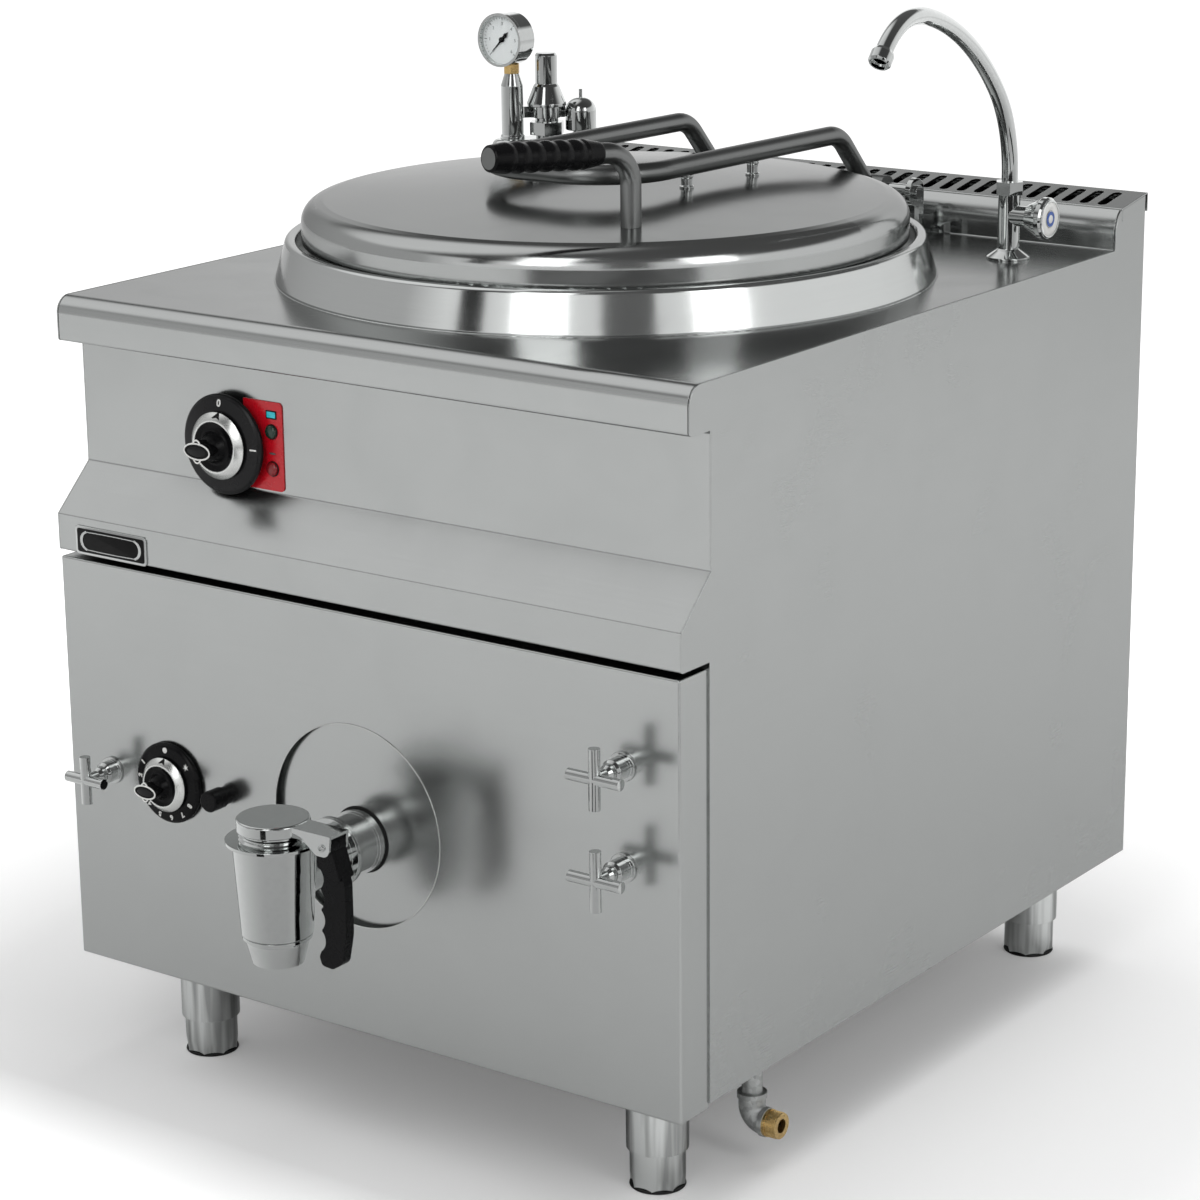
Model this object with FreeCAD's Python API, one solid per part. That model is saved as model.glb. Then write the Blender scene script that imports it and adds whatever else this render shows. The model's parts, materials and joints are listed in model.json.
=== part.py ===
import FreeCAD, Part
import math
import os

# Gas boiling pan, indirectly heated, with a hinged lid, on four feet.
# Millimetres. X runs to the right, Y runs from the door towards the back, Z is up from the floor.
# The pieces are drawn with Y = 0 on the door's face. They are moved at the end, so that the
# origin lies under the middle of the whole object.

V = FreeCAD.Vector
X_AXIS = V(1, 0, 0)
Y_AXIS = V(0, 1, 0)
Z_AXIS = V(0, 0, 1)
FRONT = V(0, -1, 0)

# Pan, collar and jacket
worktop_z = 850.0
pan_radius = 300.0
pan_wall = 2.0
pan_floor_z = 306.0
pan_lip_z = 884.0
lip_width = 9.0
gutter_z = 876.0
collar_inner_radius = pan_radius + 30
collar_top_radius = collar_inner_radius + 11
collar_foot_radius = collar_top_radius + 12
collar_top_z = 894.0
worktop_hole_radius = collar_inner_radius - 4
jacket_radius = pan_radius + 38
jacket_top_z = 722.0
jacket_floor_z = 262.0
pan_y = collar_foot_radius + 87

# Cabinet, whose depth follows the pan
width = 800.0
hinge_y = pan_y + collar_foot_radius + 15
upstand_y = hinge_y + 33
cover_front_y = upstand_y + 12
side_rear_y = cover_front_y + 56
cover_rear_y = side_rear_y + 6
body_bottom_z = 131.0
top_sheet = 2.0
panel_sheet = 1.5
seam = 1.0
seat = 0.05
half_width = width / 2
inner_x = half_width - panel_sheet

# Worktop nose, upstand and the cover's hem
nose_y = 15.0
nose_bottom_z = 803.0
nose_radius = 18.0
upstand_bend_z = 883.6
cover_front_z = 893.5
upstand_radius = 32.0
cover_rise = 0.17
hem_gap = 1.6
hem_drop = 12.0
cover_gap = 0.3

# Chimney slots
slot_pitch = 22.4
slot_width = 11.5
slot_margin = 28.0
slot_front_gap = 6.0
slot_rear_gap = 10.0

# Control panel
panel_y = 50.0
crease_z = 668.0
lip_y = 0.5
lip_top_z = 620.0
lip_bottom_z = 580.5

# Door
door_inset = 2.0
door_top_z = 574.0
door_bottom_z = 124.0
door_depth = 47.0
door_return = 20.0
cutout_z = 350.0
cutout_radius = 108.0
recess_depth = 7.0

# Base frame and feet
rail = 30.0
foot_x = half_width - 98
foot_front_y = 97.0
foot_rear_y = side_rear_y - 44
foot_plate = 42.0
sleeve_radius = 32.0
sleeve_bottom_z = 42.0
leveller_radius = 28.5
leveller_gap = 0.7
leveller_top_z = 80.0
stud_radius = 8.0
stud_top_z = 126.0

# Burner and flue
chamber_radius = jacket_radius - 37
burner_z = 208.0
burner_radius = 12.0
burner_length = 390.0
burner_count = 6
burner_pitch = 72.0
duct_half_width = 240.0
duct_front_y = upstand_y + 6
duct_rear_y = side_rear_y - 14
duct_top_z = 878.0
throat_half_width = 120.0
throat_top_z = 255.0

# Lid
lid_radius = collar_inner_radius - 6
lid_sheet = 1.5
lid_edge_z = 889.0
lid_crease_radius = lid_radius - 24
lid_crease_z = 934.0
lid_rim_fall = 6.0
lid_rim_bend = 22.0
lid_top_z = 950.0
lid_lift_gap = 0.4

# Lid frame, hinge and handle
tube_radius = 10.6
frame_half_width = 102.0
frame_front_y = pan_y - 118
frame_front_z = 973.0
frame_front_bend = 85.0
apex_y = hinge_y - 65.5
apex_z = 967.5
apex_bend = 45.0
hinge_z = 899.0
pin_radius = 8.0
running_gap = 0.06
sleeve_outer = 16.0
hinge_sleeve_length = 50.0
bracket_x = 163.0
bracket_plate = 6.0
bracket_leg = (6.0, 20.0)
bracket_foot = 36.0
standoff_y = (pan_y + 5, pan_y + 130)
standoff_radius = 6.0
post_x = 161.0
post_y = pan_y - 179
handle_corner_z = 1013.9
handle_bend = 34.0
handle_turn = 14.0
handle_rise = 3.9
grip_start = 41.8
grip_length = 138.0
grip_radius = 15.5
grip_lobes = 5

# Instruments on their diagonal header
header_x = 84 - half_width
header_y = upstand_y - 81
header_turn = 45.0
header_top_z = 930.0
header_height = 26.0
header_half_width = 25.0
instrument_pitch = 41.0
riser_radius = 17.0
column_radius = 13.2
column_top_z = 1007.0
gauge_z = 1048.0
gauge_radius = 31.5
gauge_depth = 31.0
gauge_reach = 24.0
spindle_radius = 0.9
bell_radius = 18.5
bell_bottom_z = 938.0
bell_top_z = 976.0

# Mixer tap over the pan
faucet_x = half_width - 78.4
faucet_y = upstand_y - 99.3
faucet_radius = 12.0
faucet_flange_radius = 24.0
faucet_top_z = 920.0
spout_radius = 9.0
spout_bore = 7.2
spout_park = 4.5
spout_bend_z = 938.0
spout_foot_radius = 143.0
spout_foot_turn = 44.5
spout_lean_radius = 334.0
spout_lean_turn = 33.3
spout_crown_radius = 126.0
spout_crown_run = 6.0
spout_tip_radius = 88.0
spout_tip_turn = 46.7
nozzle_length = 16.0
nozzle_radius = 12.0
handwheel_z = 897.0
handwheel_radius = 23.0

# Switch on the control panel, and the lamps beside it
switch_x = 205 - half_width
switch_z = 714.0
switch_bezel_radius = 52.6
switch_bezel_back = 44.0
switch_knob_radius = 35.0
lamp_x = 262.3 - half_width
lamp_radius = 7.0
lamp_z = (732.3, 693.6)
plate_right_x = 276.7 - half_width
plate_top_z = 763.4
plate_bottom_z = 670.5

# Gas knob and piezo button on the door
gas_x = 147 - half_width
gas_z = 348.5
gas_bezel_radius = 44.0
gas_knob_radius = 29.5
button_x = 223 - half_width
button_radius = 11.2
button_front_y = -28.0
button_travel = 5.0
bush_y = -8.0

# Jacket taps on the door
level_tap_x = half_width - 67.5
fill_tap_x = 62 - half_width
tap_sites = ((level_tap_x, 478.0, 46.0, 30.5), (level_tap_x, 376.0, 46.0, 30.5), (fill_tap_x, 345.5, 41.0, 26.0))
tap_collar_radius = 15.0
tap_sleeve_radius = 11.5
tap_hub_length = 24.0
tap_arm_radius = 5.8
valve_radius = 15.0
valve_start_y = 12.0
valve_end_y = 76.0

# Draw-off tap
drain_z = 334.0
drain_radius = 30.0
drain_bore = 27.0
drain_flange_y = -37.0
tap_y = -125.0
tap_cap_top_z = 398.0
tap_cap_radius = 37.0
tap_neck_z = 385.0
tap_rim_z = 376.0
tap_rim_radius = 48.5
tap_body_radius = 42.0
tap_waist_radius = 36.0
tap_waist_z = 278.0
tap_outlet_radius = 26.0
tap_outlet_z = 247.0
tap_seat_z = 300.0
tap_seat_radius = 22.0
tap_chamber_radius = 31.0
lever_pin_x = 74.0
lever_pin_z = 384.0
lever_length = 128.0
lever_neck = 11.0
lever_blade = 6.0
scallop_radius = 14.0
scallop_pitch = 21.5

# Level drain under the cabinet
level_pipe_x = half_width - 50
level_pipe_y = 197.0
level_pipe_radius = 10.7
elbow_radius = 15.5
elbow_z = 46.0
nipple_end_x = half_width - 14
nipple_bore = 7.5

origin_y = (tap_y - tap_rim_radius + cover_rear_y) / 2


# Shapes that many pieces share


def box(x0, x1, y0, y1, z0, z1):
    return Part.makeBox(x1 - x0, y1 - y0, z1 - z0, V(x0, y0, z0))


def rod(radius, start, end):
    """Round bar between two points."""
    return Part.makeCylinder(radius, (end - start).Length, start, end - start)


def ring(outer, inner, start, end):
    return rod(outer, start, end).cut(rod(inner, start, end))


def hexagon(flats, start, end):
    """Six-sided bar of the given width across flats."""
    corner = flats / math.sqrt(3)
    points = [V(corner * math.cos(a), corner * math.sin(a), 0) for a in (i * math.pi / 3 for i in range(7))]
    bar = Part.Face(Part.makePolygon(points)).extrude(V(0, 0, (end - start).Length))
    return placed(bar, start, end - start)


def placed(shape, base, along):
    """Turns a shape drawn about the Z axis, so that its axis runs along the given direction."""
    moved = shape.copy()
    moved.Placement = FreeCAD.Placement(base, FreeCAD.Rotation(Z_AXIS, along))
    return moved


def rounded_edges(points, radii):
    """Lines along a path, with an arc of the given radius at each inner corner."""
    edges = []
    here = points[0]
    for before, corner, after, radius in zip(points, points[1:], points[2:], radii):
        came = (corner - before).normalize()
        goes = (after - corner).normalize()
        turn = came.getAngle(goes)
        if radius > seat and turn > 1e-4:
            cut = radius * math.tan(turn / 2)
            first = corner - came * cut
            last = corner + goes * cut
            inwards = (goes - came).normalize()
            middle = corner + inwards * (radius / math.cos(turn / 2) - radius)
            if (first - here).Length > 1e-5:
                edges.append(Part.makeLine(here, first))
            edges.append(Part.Arc(first, middle, last).toShape())
            here = last
        else:
            edges.append(Part.makeLine(here, corner))
            here = corner
    if (points[-1] - here).Length > 1e-5:
        edges.append(Part.makeLine(here, points[-1]))
    return edges


def shifted_corners(points, shift):
    """Corners of a flat path moved sideways, to its left where the shift is positive."""
    normals = []
    for a, b in zip(points, points[1:]):
        run = (b - a).normalize()
        normals.append(V(-run.y, run.x, 0))
    moved = [points[0] + normals[0] * shift]
    for corner, n1, n2 in zip(points[1:], normals, normals[1:]):
        moved.append(corner + (n1 + n2) * (shift / (1 + n1.dot(n2))))
    moved.append(points[-1] + normals[-1] * shift)
    return moved


def sheet_section(corners, radii, thickness):
    """Section of a bent sheet. The corners lie on one skin, and a positive thickness goes to their left."""
    skin = [V(u, v, 0) for u, v in corners]
    back = shifted_corners(skin, thickness)
    back_radii = []
    for before, corner, after, radius in zip(skin, skin[1:], skin[2:], radii):
        left = (corner - before).cross(after - corner).z > 0
        back_radii.append(radius - thickness if left else radius + thickness)
    edges = rounded_edges(skin, radii)
    edges.append(Part.makeLine(skin[-1], back[-1]))
    edges += rounded_edges(back[::-1], back_radii[::-1])
    edges.append(Part.makeLine(back[0], skin[0]))
    return Part.Face(Part.Wire(edges))


def across(section, x0, x1):
    """Draws a section of (y, z) points out along X."""
    bar = section.extrude(V(0, 0, x1 - x0))
    bar.Placement = FreeCAD.Placement(V(x0, 0, 0), FreeCAD.Rotation(Y_AXIS, Z_AXIS, X_AXIS))
    return bar


def turned(section, base, along=Z_AXIS):
    """Turns a section of (radius, height) points about the axis through the base."""
    upright = section.copy()
    upright.rotate(V(0, 0, 0), X_AXIS, 90)
    return placed(upright.revolve(V(0, 0, 0), Z_AXIS, 360), base, along)


def closed_section(corners, radii=None):
    """Closed outline, each corner rounded by its radius where radii are given."""
    points = [V(u, v, 0) for u, v in corners]
    if radii is None:
        return Part.Face(Part.makePolygon(points + points[:1]))
    start = (points[-1] + points[0]) * 0.5
    return Part.Face(Part.Wire(rounded_edges([start] + points + [start], radii)))


def lathe(corners, base, along=Z_AXIS, radii=None):
    return turned(closed_section(corners, radii), base, along)


def swept(points, radii, radius):
    """Round bar along a path of straight runs joined by arcs."""
    path = Part.Wire(rounded_edges(points, radii))
    circle = Part.Wire(Part.makeCircle(radius, points[0], points[1] - points[0]))
    return path.makePipeShell([circle], True, False)


def pipe(points, radii, outer, inner):
    return swept(points, radii, outer).cut(swept(points, radii, inner))


def fused(shapes):
    whole = shapes[0].multiFuse(shapes[1:]) if len(shapes) > 1 else shapes[0]
    return whole.removeSplitter()


def mirrored(shape):
    return shape.mirror(V(0, 0, 0), X_AXIS)


def radial_from_pan(x, y, radius):
    """Point on the circle round the pan's axis, on the line from that axis to (x, y)."""
    out = V(x, y - pan_y, 0).normalize()
    return V(out.x * radius, pan_y + out.y * radius, 0)


# Cabinet sheets


def cover_top(y):
    """Height of the chimney cover's outer skin."""
    return cover_front_z + seam + cover_rise * (y - cover_front_y)


def worktop():
    skin = [
        (panel_y + 12, nose_bottom_z),
        (nose_y, nose_bottom_z),
        (nose_y, worktop_z),
        (upstand_y, worktop_z),
        (upstand_y, upstand_bend_z),
        (cover_front_y, cover_front_z),
    ]
    radii = [top_sheet + 1.5, nose_radius, 1.5, upstand_radius]
    reach = inner_x - seam
    sheet = across(sheet_section(skin, radii, -top_sheet), -reach, reach)
    below = worktop_z - 2 * top_sheet
    above = worktop_z + top_sheet
    holes = [
        rod(worktop_hole_radius, V(0, pan_y, below), V(0, pan_y, above)),
        rod(faucet_radius - 1, V(faucet_x, faucet_y, below), V(faucet_x, faucet_y, above)),
        rod(riser_radius + 1, V(header_x, header_y, below), V(header_x, header_y, above)),
    ]
    return sheet.cut(holes)


def chimney_cover():
    hem_y = cover_front_y + hem_gap
    rear_z = cover_top(cover_rear_y)
    skin = [
        (hem_y, cover_front_z - hem_drop),
        (hem_y, cover_top(hem_y)),
        (cover_rear_y, rear_z),
        (cover_rear_y, rear_z - 21),
    ]
    sheet = across(sheet_section(skin, [1.8, 1.8], -panel_sheet), -half_width, half_width)
    first = -half_width + slot_margin
    count = int((width - 2 * slot_margin) / slot_pitch) + 1
    front = hem_y + slot_front_gap + slot_width / 2
    back = cover_rear_y - slot_rear_gap - slot_width / 2
    start = first + (width - 2 * slot_margin - (count - 1) * slot_pitch) / 2
    slots = []
    for i in range(count):
        x = start + i * slot_pitch
        low = cover_front_z - 8
        high = rear_z + 5
        slots.append(box(x - slot_width / 2, x + slot_width / 2, front, back, low, high))
        slots.append(rod(slot_width / 2, V(x, front, low), V(x, front, high)))
        slots.append(rod(slot_width / 2, V(x, back, low), V(x, back, high)))
    return sheet.cut(slots)


def side_outline():
    """Outline of a side panel in (y, z), which follows the nose, the control panel and the upstand."""
    under_front = cover_top(cover_front_y + hem_gap) - panel_sheet - cover_gap
    under_rear = cover_top(side_rear_y) - panel_sheet - cover_gap
    corners = [
        (door_depth, body_bottom_z),
        (door_depth, lip_bottom_z),
        (lip_y, lip_bottom_z),
        (lip_y, lip_top_z),
        (panel_y, crease_z),
        (panel_y, nose_bottom_z),
        (nose_y, nose_bottom_z),
        (nose_y, worktop_z),
        (upstand_y, worktop_z),
        (upstand_y, upstand_bend_z),
        (cover_front_y + hem_gap, under_front),
        (side_rear_y, under_rear),
        (side_rear_y, body_bottom_z),
    ]
    radii = [0, 0, 2, 3, 3, 0, 3.5, nose_radius, 1.5, upstand_radius - 2, 0, 0, 0]
    return closed_section(corners, radii)


def left_side_panel():
    """Side skin with its inner flanges, slit behind the upstand for the cover's hem."""
    hem_y = cover_front_y + hem_gap
    slit_z = cover_front_z - hem_drop - cover_gap
    slit = box(-half_width - 1, 1 - inner_x, hem_y - cover_gap, hem_y + panel_sheet + cover_gap, slit_z, worktop_z + 100)
    skin = across(side_outline(), -half_width, -inner_x).cut(slit)
    flange = 20.0
    top = panel_sheet + body_bottom_z
    bottom = box(-inner_x, flange - inner_x, door_depth, side_rear_y, body_bottom_z, top)
    front = box(-inner_x, flange - inner_x, door_depth, door_depth + panel_sheet, body_bottom_z, lip_bottom_z)
    return fused([skin, bottom, front])


def control_panel():
    skin = [
        (panel_y + 30, nose_bottom_z - panel_sheet),
        (panel_y, nose_bottom_z - panel_sheet),
        (panel_y, crease_z),
        (lip_y, lip_top_z),
        (lip_y, lip_bottom_z),
        (lip_y + 20, lip_bottom_z),
    ]
    reach = inner_x - seat
    sheet = across(sheet_section(skin, [2.5, 3, 2, 2.5], panel_sheet), -reach, reach)
    holes = [rod(9.0, V(switch_x, panel_y - 5, switch_z), V(switch_x, panel_y + 5, switch_z))]
    for z in lamp_z:
        holes.append(rod(lamp_radius - 2, V(lamp_x, panel_y - 5, z), V(lamp_x, panel_y + 5, z)))
    return sheet.cut(holes)


def front_panel():
    reach = half_width - door_inset
    outer = box(-reach, reach, 0, door_depth, door_bottom_z, door_top_z)
    rounded = [e for e in outer.Edges if e.BoundBox.YMax < 0.01 or abs(e.BoundBox.YLength - door_depth) < 0.01]
    outer = outer.makeFillet(2.2, rounded)
    inner_reach = reach - panel_sheet
    low = door_bottom_z + panel_sheet
    high = door_top_z - panel_sheet
    hollow = box(-inner_reach, inner_reach, panel_sheet, door_depth + 1, low, high)
    trims = [
        box(-inner_reach, inner_reach, door_return, door_depth + 1, door_bottom_z - 1, low + 1),
        box(-inner_reach, inner_reach, door_return, door_depth + 1, high - 1, door_top_z + 1),
    ]
    behind = 4.0
    holes = [
        rod(cutout_radius, V(0, -1, cutout_z), V(0, behind, cutout_z)),
        rod(9.0, V(gas_x, -1, gas_z), V(gas_x, behind, gas_z)),
        rod(8.1, V(button_x, -1, gas_z), V(button_x, behind, gas_z)),
    ]
    for x, z, _, _ in tap_sites:
        holes.append(rod(tap_sleeve_radius - 0.4, V(x, -1, z), V(x, behind, z)))
    return outer.cut([hollow] + trims + holes)


def rear_panel():
    reach = inner_x - seat
    low = body_bottom_z + panel_sheet
    high = cover_top(cover_rear_y) - 8
    sheet = box(-reach, reach, side_rear_y - panel_sheet, side_rear_y, low, high)
    flange = box(-reach, reach, side_rear_y - 14, side_rear_y - panel_sheet, high - panel_sheet, high)
    vents = []
    for i in range(5):
        z = 300 + 24 * i
        vents.append(box(-60, 60, side_rear_y - 5, side_rear_y + 5, z, z + 8))
    return fused([sheet, flange]).cut(vents)


def base_frame():
    """Channel rails round the bottom, two cross rails for the chamber and a plate over each foot."""
    low = body_bottom_z + panel_sheet
    high = low + rail
    reach = inner_x - seat
    front = door_depth + panel_sheet
    rear = side_rear_y - panel_sheet - 1
    cross = (pan_y - 200, pan_y + 200)
    wall = 2.0
    bars = [
        (-reach, reach, front, front + rail),
        (-reach, reach, rear - rail, rear),
        (-reach, rail - reach, front, rear),
        (reach - rail, reach, front, rear),
        (-reach, reach, cross[0] - rail / 2, cross[0] + rail / 2),
        (-reach, reach, cross[1] - rail / 2, cross[1] + rail / 2),
    ]
    solid = fused([box(x0, x1, y0, y1, low, high) for x0, x1, y0, y1 in bars])
    hollow = fused([box(x0 + wall, x1 - wall, y0 + wall, y1 - wall, low - 1, high - wall) for x0, x1, y0, y1 in bars])
    plates = []
    for side in (-1, 1):
        for y0, y1 in ((front, foot_front_y + 45), (foot_rear_y - 45, rear)):
            x0, x1 = sorted((side * (foot_x - foot_plate), side * reach))
            plates.append(box(x0, x1, y0, y1, low, low + 4))
    return fused([solid.cut(hollow)] + plates)


# Feet


def foot_sites():
    return [
        ("front_left", -foot_x, foot_front_y),
        ("front_right", foot_x, foot_front_y),
        ("rear_left", -foot_x, foot_rear_y),
        ("rear_right", foot_x, foot_rear_y),
    ]


def foot_sleeve(x, y):
    top = body_bottom_z + panel_sheet
    inner = leveller_radius + leveller_gap
    nut_z = leveller_top_z + 5
    tube = ring(sleeve_radius, inner, V(x, y, sleeve_bottom_z), V(x, y, top))
    cap = ring(sleeve_radius + 8, stud_radius + 2, V(x, y, top - 3), V(x, y, top))
    nut = ring(inner + 0.5, stud_radius + 0.1, V(x, y, nut_z), V(x, y, nut_z + 10))
    return fused([tube, cap, nut])


def foot_leveller(x, y):
    """Lower foot on its stud. The tube's end is pressed into eight flats that close in to the floor."""
    barrel = rod(leveller_radius, V(x, y, 0), V(x, y, leveller_top_z))
    stud = rod(stud_radius, V(x, y, leveller_top_z), V(x, y, stud_top_z))
    wires = []
    for z, radius in ((0, 28.2), (5, 28.8), (26, 32.5), (leveller_top_z, 40.0)):
        points = []
        for i in range(9):
            a = math.pi / 8 + i * math.pi / 4
            points.append(V(x + radius * math.cos(a), y + radius * math.sin(a), z))
        wires.append(Part.makePolygon(points))
    crimp = Part.makeLoft(wires, True, True)
    return fused([barrel.common(crimp), stud])


# Pan and its heating


def pan_vessel():
    lip = pan_radius + lip_width
    skin = [
        (0, pan_floor_z),
        (pan_radius, pan_floor_z),
        (pan_radius, pan_lip_z),
        (lip, pan_lip_z),
        (lip, gutter_z),
        (collar_inner_radius, gutter_z),
    ]
    wall = sheet_section(skin, [60, 3, 3, 2.5], -pan_wall)
    vessel = turned(wall, V(0, pan_y, 0))
    way_out = rod(drain_bore, V(0, 0, drain_z), V(0, pan_y - pan_radius / 2, drain_z))
    return vessel.cut(way_out)


def vessel_filled():
    reach = pan_radius + pan_wall
    low = pan_floor_z - pan_wall
    return lathe([(0, low), (reach, low), (reach, pan_lip_z), (0, pan_lip_z)], V(0, pan_y, 0), radii=[0, 60, 0, 0])


def pan_collar():
    """Tapered ring on the worktop, rolled over at the top and welded to the pan's gutter."""
    skin = [
        (collar_foot_radius, worktop_z + seat),
        (collar_foot_radius, worktop_z + 2.5),
        (collar_top_radius, collar_top_z),
        (collar_inner_radius, collar_top_z),
        (collar_inner_radius, gutter_z - pan_wall),
    ]
    band = sheet_section(skin, [2, 5, 4], 2.0)
    return turned(band, V(0, pan_y, 0))


def jacket_skin():
    return [
        (pan_radius + pan_wall, jacket_top_z),
        (jacket_radius, jacket_top_z),
        (jacket_radius, jacket_floor_z + 20),
        (80, jacket_floor_z),
        (0, jacket_floor_z),
    ]


def jacket_filled():
    corners = jacket_skin()
    return lathe([(0, jacket_top_z)] + corners[1:], V(0, pan_y, 0), radii=[0, 4, 50, 20, 0])


def jacket_shell():
    wall = sheet_section(jacket_skin(), [4, 50, 20], -2.0)
    shell = turned(wall, V(0, pan_y, 0))
    return shell.cut(rod(drain_radius, V(0, 0, drain_z), V(0, pan_y - pan_radius / 2, drain_z)))


def combustion_chamber():
    """Round chamber under the jacket with its flue: a throat to the back and a duct up to the chimney."""
    low = body_bottom_z + panel_sheet + rail
    t = panel_sheet
    wall = ring(chamber_radius, chamber_radius - t, V(0, pan_y, low), V(0, pan_y, throat_top_z + 60))
    wall = wall.cut(jacket_filled())
    throat_y = pan_y + chamber_radius - 30
    throat = box(-throat_half_width, throat_half_width, throat_y, duct_front_y + t, low, throat_top_z)
    half = throat_half_width - t
    throat_way = box(-half, half, throat_y - 1, duct_front_y + 5, low + t, throat_top_z - t)
    duct = box(-duct_half_width, duct_half_width, duct_front_y, duct_rear_y, low, duct_top_z)
    duct_way = box(t - duct_half_width, duct_half_width - t, duct_front_y + t, duct_rear_y - t, low + t, duct_top_z + 1)
    core = rod(chamber_radius - t, V(0, pan_y, low - 1), V(0, pan_y, throat_top_z + 60))
    gas_way = rod(burner_radius - 2, V(gas_x - 60, burner_front_y(), burner_z), V(0, burner_front_y(), burner_z))
    shell = fused([wall, throat, duct])
    return shell.cut([throat_way, duct_way, core, gas_way])


def burner_front_y():
    return pan_y - burner_length / 2 - burner_radius


def header_half_length():
    return (burner_count - 1) * burner_pitch / 2 + burner_radius + 6


def burner():
    """Bar burners side by side on a front header, held by a cross bar."""
    reach = (burner_count - 1) * burner_pitch / 2
    front = burner_front_y()
    header = header_half_length()
    bars = [rod(burner_radius - 1, V(-header, front, burner_z), V(header, front, burner_z))]
    for i in range(burner_count):
        x = i * burner_pitch - reach
        bars.append(rod(burner_radius, V(x, front, burner_z), V(x, front + burner_length, burner_z)))
    under = burner_z - burner_radius
    bar = box(-chamber_radius, chamber_radius, pan_y - 10, pan_y + 10, under - 6, under + 1)
    room = rod(chamber_radius - panel_sheet, V(0, pan_y, 0), V(0, pan_y, worktop_z))
    return fused(bars + [bar.common(room)])


def gas_control_valve():
    """Valve behind the gas knob, with its spindle and the pipe to the burner's header."""
    front = panel_sheet
    back_y = 66.0
    bush = rod(12.0, V(gas_x, front, gas_z), V(gas_x, 14, gas_z))
    body = box(gas_x - 30, gas_x + 30, 14, back_y, gas_z - 35, gas_z + 35)
    spindle = rod(4.0, V(gas_x, -14, gas_z), V(gas_x, front, gas_z))
    end_x = -header_half_length()
    run = [
        V(gas_x, 40, gas_z - 34),
        V(gas_x, 40, burner_z),
        V(gas_x, burner_front_y(), burner_z),
        V(end_x, burner_front_y(), burner_z),
    ]
    return fused([bush, body, spindle, swept(run, [25, 18], 7.0)])


def switch_body():
    bush = rod(12.0, V(switch_x, panel_y + panel_sheet, switch_z), V(switch_x, panel_y + 14, switch_z))
    body = box(switch_x - 24, switch_x + 24, panel_y + 14, panel_y + 60, switch_z - 24, switch_z + 24)
    spindle = rod(3.5, V(switch_x, panel_y - 22, switch_z), V(switch_x, panel_y + 2, switch_z))
    return fused([bush, body, spindle])


def igniter_body():
    """Threaded barrel of the piezo igniter, its ring on the door and its bore for the button's stem."""
    barrel = rod(8.0, V(button_x, bush_y, gas_z), V(button_x, 44, gas_z))
    front_ring = rod(button_radius - 1.6, V(button_x, bush_y, gas_z), V(button_x, 0, gas_z))
    back_nut = hexagon(20.0, V(button_x, panel_sheet, gas_z), V(button_x, 7, gas_z))
    bore = rod(4.0 + running_gap, V(button_x, bush_y - 1, gas_z), V(button_x, 34, gas_z))
    return fused([barrel, front_ring, back_nut]).cut(bore)


# Draw-off tap


def drain_pipe():
    start = drain_flange_y
    tube = ring(drain_radius, drain_bore, V(0, start, drain_z), V(0, pan_y - pan_radius / 2, drain_z))
    tube = tube.cut(vessel_filled())
    flange = ring(drain_radius + 6, drain_bore, V(0, start, drain_z), V(0, start + 4, drain_z))
    ferrule = ring(drain_radius + 3.2, drain_bore, V(0, -3, drain_z), V(0, recess_depth, drain_z))
    return fused([tube, flange, ferrule])


def drain_recess_plate():
    """Round tray behind the door's cut-out, carried by the drain pipe and seated on the door's back."""
    reach = cutout_radius + 14
    bend = cutout_radius + 6
    skin = [(drain_radius, recess_depth), (bend, recess_depth), (bend, panel_sheet), (reach, panel_sheet)]
    tray = sheet_section(skin, [2, 2], 1.2)
    plate = turned(tray, V(0, 0, cutout_z), Y_AXIS)
    centre = box(-60, 60, recess_depth, recess_depth + 1.2, cutout_z - 60, cutout_z + 60)
    hub = rod(drain_radius, V(0, -1, drain_z), V(0, 60, drain_z))
    return fused([plate, centre]).cut(hub)


def tap_point(x, z):
    return V(x, tap_y, z)


def drain_tap_body():
    """Chrome tap: tapered barrel over a stepped outlet, with a seat inside and a side neck to the pipe."""
    base = V(0, tap_y, 0)
    outer = [
        (tap_seat_radius, tap_outlet_z),
        (tap_outlet_radius, tap_outlet_z),
        (tap_waist_radius - 4, tap_waist_z - 8),
        (tap_waist_radius - 4, tap_waist_z - 6),
        (tap_waist_radius - 1, tap_waist_z - 5),
        (tap_waist_radius - 1, tap_waist_z - 2),
        (tap_waist_radius - 2.5, tap_waist_z - 1),
        (tap_waist_radius, tap_waist_z),
        (tap_body_radius, tap_rim_z - 4),
        (tap_rim_radius, tap_rim_z - 3),
        (tap_rim_radius, tap_rim_z),
        (tap_cap_radius - 1.5, tap_rim_z + 0.8),
        (tap_cap_radius - 3.5, tap_rim_z + 3),
        (tap_cap_radius - 1.5, tap_rim_z + 5),
        (tap_cap_radius - 3.5, tap_neck_z - 2),
        (tap_cap_radius - 3.5, tap_neck_z),
        (tap_chamber_radius, tap_neck_z),
        (tap_chamber_radius, tap_seat_z + 3),
        (tap_seat_radius, tap_seat_z),
    ]
    barrel = lathe(outer, base)
    flange = rod(drain_radius + 6, V(0, drain_flange_y - 4, drain_z), V(0, drain_flange_y, drain_z))
    neck = rod(drain_radius - 1.5, V(0, tap_y, drain_z), V(0, drain_flange_y, drain_z))
    room = rod(tap_chamber_radius + 1, V(0, tap_y, tap_outlet_z), V(0, tap_y, tap_neck_z))
    way = rod(drain_bore - 2, V(0, tap_y, drain_z), V(0, drain_flange_y + 1, drain_z))
    side = fused([flange, neck]).cut(room)
    return fused([barrel, side]).cut(way)


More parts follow.
